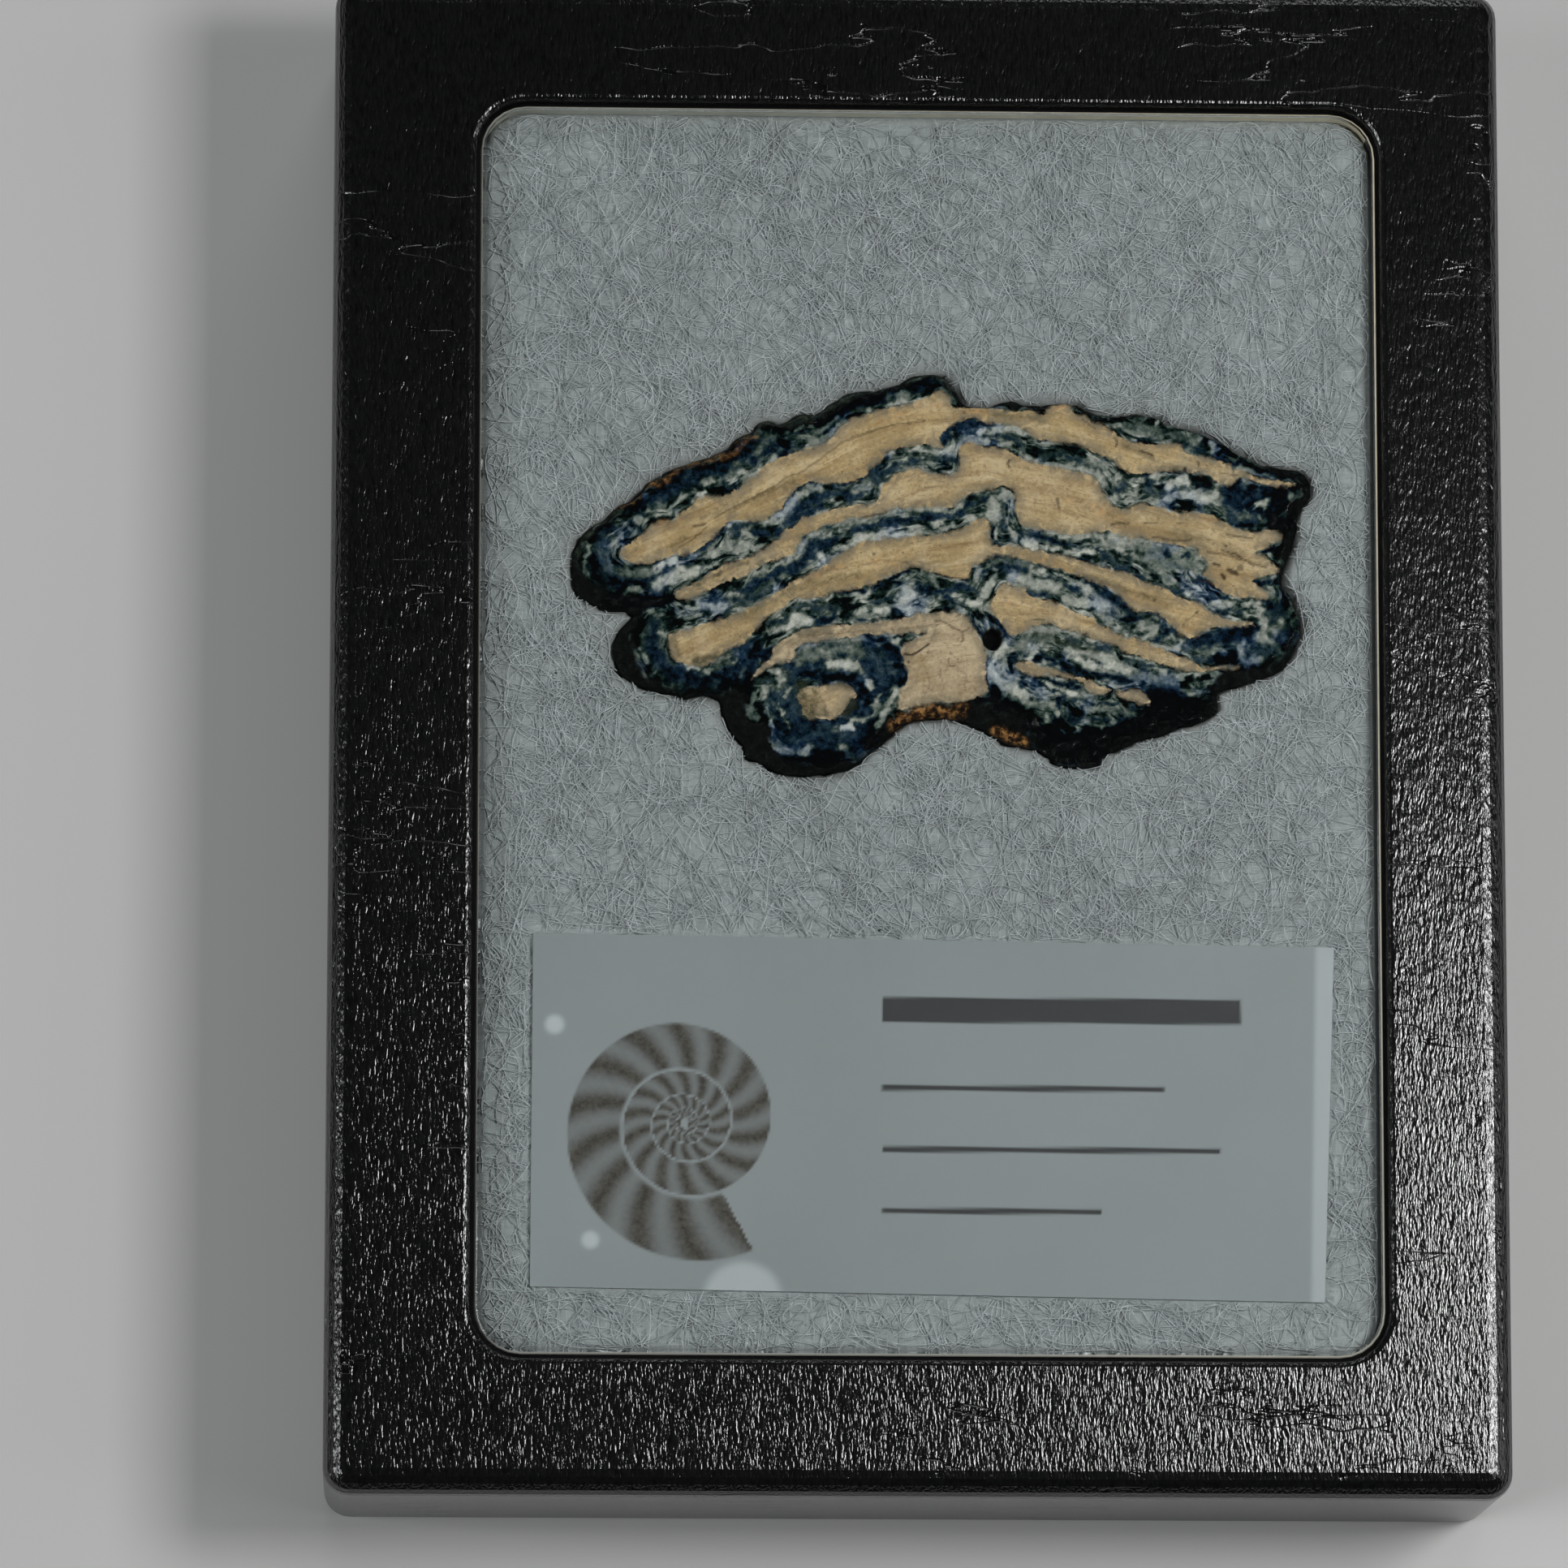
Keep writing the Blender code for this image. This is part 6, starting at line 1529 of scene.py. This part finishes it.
def make_strands(sheet, outer, name, seed, finish, radius, lift):
    """Loose curled fibres lying on the fill, under the pane and clear of the slice and the card."""
    random = np.random.default_rng(seed)
    count = STRAND_COUNT
    x = WINDOW_CENTRE[0] + (random.random(count) - 0.5) * (HOLLOW_WIDTH + 2)
    y = WINDOW_CENTRE[1] + (random.random(count) - 0.5) * (HOLLOW_LENGTH + 2)
    length = random.uniform(4.5, 13.0, count)
    turn = random.normal(0.0, 0.16, count)
    curled = random.random(count) < 0.14
    turn = np.where(curled, random.uniform(0.7, 1.7, count) * random.choice([-1, 1], count), turn)
    length = np.where(curled, random.uniform(2.5, 5.0, count), length)
    sway = random.normal(0.0, 0.22, count)
    phase = random.uniform(0, 2 * math.pi, count)
    heading = random.uniform(0, 2 * math.pi, count)
    travel = np.linspace(0, 1, STRAND_STEPS)[None, :] * length[:, None]
    angle = heading[:, None] + turn[:, None] * travel + sway[:, None] * length[:, None] * 0.35 * np.sin(
        phase[:, None] + travel * 0.9)
    stride = (length / (STRAND_STEPS - 1))[:, None]
    path_x = x[:, None] + np.cumsum(np.cos(angle) * stride, 1)
    path_y = y[:, None] + np.cumsum(np.sin(angle) * stride, 1)
    gap = slice_gap_at(sheet, outer, path_x, path_y)
    clear = (gap < -0.06) & (card_gap(path_x, path_y) < -0.05)
    clear &= rounded_gap(path_x, path_y, HOLLOW_WIDTH, HOLLOW_LENGTH, HOLLOW_RADIUS) > 0.25
    rise = lift * random.uniform(0.15, 1.0, count)[:, None] * (0.75 + 0.25 * np.sin(
        phase[:, None] * 3 + travel * 0.8))
    path_z = np.minimum(pad_height(path_x, path_y, gap) + 0.03 + rise, PANE_UNDERSIDE - 0.06)
    curve = bpy.data.curves.new(name, "CURVE")
    curve.dimensions = "3D"
    curve.bevel_depth = radius * MM
    curve.bevel_resolution = 0
    curve.use_fill_caps = True
    for index in range(count):
        run = longest_run(clear[index])
        if run is None:
            continue
        part = slice(*run)
        spline = curve.splines.new("POLY")
        spline.points.add(run[1] - run[0] - 1)
        flat = np.column_stack([path_x[index, part], path_y[index, part], path_z[index, part]]) * MM
        spline.points.foreach_set("co", np.column_stack([flat, np.ones(len(flat))]).ravel())
    strands = bpy.data.objects.new(name, curve)
    bpy.context.scene.collection.objects.link(strands)
    make_active(strands)
    bpy.ops.object.convert(target="MESH")
    strands = bpy.context.object
    strands.data.materials.clear()
    strands.data.materials.append(finish)
    strands.data.shade_smooth()
    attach(strands, "root")


def make_pane():
    """The formed pane, with a painted highlight on its bends and walls, and a black sheet of painted shade
    over its hidden flange.
    """
    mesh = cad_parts["window"].data.copy()
    pane = bpy.data.objects.new("clear_window", mesh)
    bpy.context.scene.collection.objects.link(pane)
    make_active(pane)
    bpy.ops.object.mode_set(mode="EDIT")
    bpy.ops.mesh.select_all(action="SELECT")
    bpy.ops.mesh.remove_doubles(threshold=0.000002)
    bpy.ops.mesh.normals_make_consistent(inside=False)
    bpy.ops.object.mode_set(mode="OBJECT")

    # The solid's thick walls are thinned from inside, so the fill shows right up to the edge
    point = places(mesh)
    gap = rounded_gap(point[:, 0], point[:, 1], SOLID_HOLLOW_WIDTH, SOLID_HOLLOW_LENGTH, SOLID_HOLLOW_RADIUS)
    on_wall = (np.abs(gap) < 0.06) & (point[:, 2] < PANE_UNDERSIDE + 0.1)
    half = np.array([SOLID_HOLLOW_WIDTH, SOLID_HOLLOW_LENGTH]) / 2 - SOLID_HOLLOW_RADIUS
    away = point[:, :2] - WINDOW_CENTRE
    past = np.sign(away) * np.maximum(np.abs(away) - half, 0.0)
    reach = np.maximum(np.hypot(*past.T), 0.01)[:, None]
    thinned = (HOLLOW_WIDTH - SOLID_HOLLOW_WIDTH) / 2
    point[:, :2] += np.where(on_wall[:, None], past / reach * thinned, 0.0)
    set_places(mesh, point)

    mesh.materials.clear()
    for finish in (clear_pane(), pane_edge_painted_highlight(), painted_shade_sheet()):
        mesh.materials.append(finish)
    for face in mesh.polygons:
        x, y, z = face.center / MM
        upright = abs(face.normal.z)
        inside = rounded_gap(x, y, WINDOW_WIDTH, WINDOW_LENGTH, WINDOW_RADIUS) > -0.05
        face.material_index = 0
        # The bends and the walls facing the near side get the painted highlight
        far_wall = inside and upright < 0.1 and z < PANE_UNDERSIDE and face.normal.y < -0.5
        if far_wall or (z > 18.15 and 0.1 < upright < 0.8):
            face.material_index = 1
        # The flange's underside and what lies beyond the window get the black sheet of painted shade
        elif not inside or (upright > 0.9 and z < PANE_UNDERSIDE - 0.05):
            face.material_index = 2
    smooth_shading(pane, 40)
    flat = {key for face in mesh.polygons if abs(face.normal.z) > 0.98 for key in face.edge_keys}
    for edge in mesh.edges:
        edge.use_edge_sharp |= edge.key in flat
    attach(pane, "root")
    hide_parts("window")


def make_specks():
    """The few dark bits caught in the fibre."""
    finish = new_material("dark_bit", Base_Color=(0.01, 0.009, 0.008, 1.0), Roughness=0.7)[0]
    for index, (x, y) in enumerate(FIBRE_SPECKS):
        deselect()
        bpy.ops.mesh.primitive_ico_sphere_add(subdivisions=2, radius=SPECK_RADIUS * MM,
                                              location=(x * MM, y * MM, SPECK_HEIGHT * MM))
        bit = finish_new(f"dark_bit_{index + 1}", finish)
        point = places(bit.data)
        lump = 1 + 0.5 * rough_noise(point[:, 0] * 9, point[:, 1] * 9 + point[:, 2] * 7, 1.0, 5 + index)
        middle = np.array([x, y, SPECK_HEIGHT])
        set_places(bit.data, middle + (point - middle) * lump[:, None] * (1.0, 0.75, 0.7))
        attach(bit, "root")


def add_camera():
    """The camera that was fitted to the photo."""
    bpy.ops.object.camera_add(location=CAMERA_PLACE, rotation=CAMERA_TURN)
    camera = bpy.context.object
    camera.data.lens = CAMERA_LENS
    camera.data.sensor_width = CAMERA_SENSOR
    camera.data.clip_start = 0.02
    camera.data.clip_end = 20.0
    bpy.context.scene.camera = camera


def add_floor():
    """The plain pale floor that the case lies on."""
    made, tree = new_material("pale_floor", Roughness=0.7, Specular_IOR_Level=0.25)
    mottled = noise(tree, 6, detail=3)
    join_to(made, Base_Color=ramp(tree, mottled, [(0.3, (0.60, 0.60, 0.59)), (0.7, (0.63, 0.63, 0.62))]))
    deselect()
    bpy.ops.mesh.primitive_plane_add(size=6.0, location=(0.0, 0.0, -0.00002))
    floor = finish_new("pale_floor", made)


def add_softbox(name, place, size, power, colour):
    """A soft rectangular light at a place, facing the case."""
    bpy.ops.object.light_add(type="AREA", location=place)
    lamp = bpy.context.object
    lamp.name = name
    lamp.data.shape = "RECTANGLE"
    lamp.data.size, lamp.data.size_y = size
    lamp.data.energy = power
    lamp.data.color = colour
    away = lamp.location.copy()
    away.z -= 0.01
    lamp.rotation_euler = away.to_track_quat("Z", "Y").to_euler()


def add_lights():
    """The soft lights, and a faint even light all round."""
    for softbox in SOFTBOXES:
        add_softbox(*softbox)
    world = bpy.data.worlds.new("studio")
    bpy.context.scene.world = world
    world.use_nodes = True
    background = world.node_tree.nodes["Background"]
    background.inputs["Color"].default_value = WORLD_COLOUR
    background.inputs["Strength"].default_value = WORLD_STRENGTH


def dress_case():
    """Give the lid and the base tray their finishes."""
    for name, finish in (("lid", leatherette()), ("base_tray", tray_board())):
        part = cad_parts[name]
        for slot in part.material_slots:
            slot.material = finish


add_camera()
add_floor()
add_lights()
dress_case()
make_pane()
slice_sheet, slice_outer = make_slice()
make_card()
make_pad(slice_sheet, slice_outer)
finishes = {
    # The top layer's fibres get a lighter copy of the fibre finish, a painted highlight on the strands
    # nearest the light
    "fibre_painted_lit": strand_finish("fibre_painted_lit", (0.48, 0.51, 0.515), (0.70, 0.74, 0.75)),
    "plain_fibre": strand_finish("plain_fibre", (0.38, 0.41, 0.415), (0.54, 0.575, 0.585)),
}
for name, seed, finish, radius, lift in STRAND_LAYERS:
    make_strands(slice_sheet, slice_outer, name, seed, finishes[finish], radius, lift)
make_specks()
bpy.context.scene.view_settings.view_transform = "Standard"
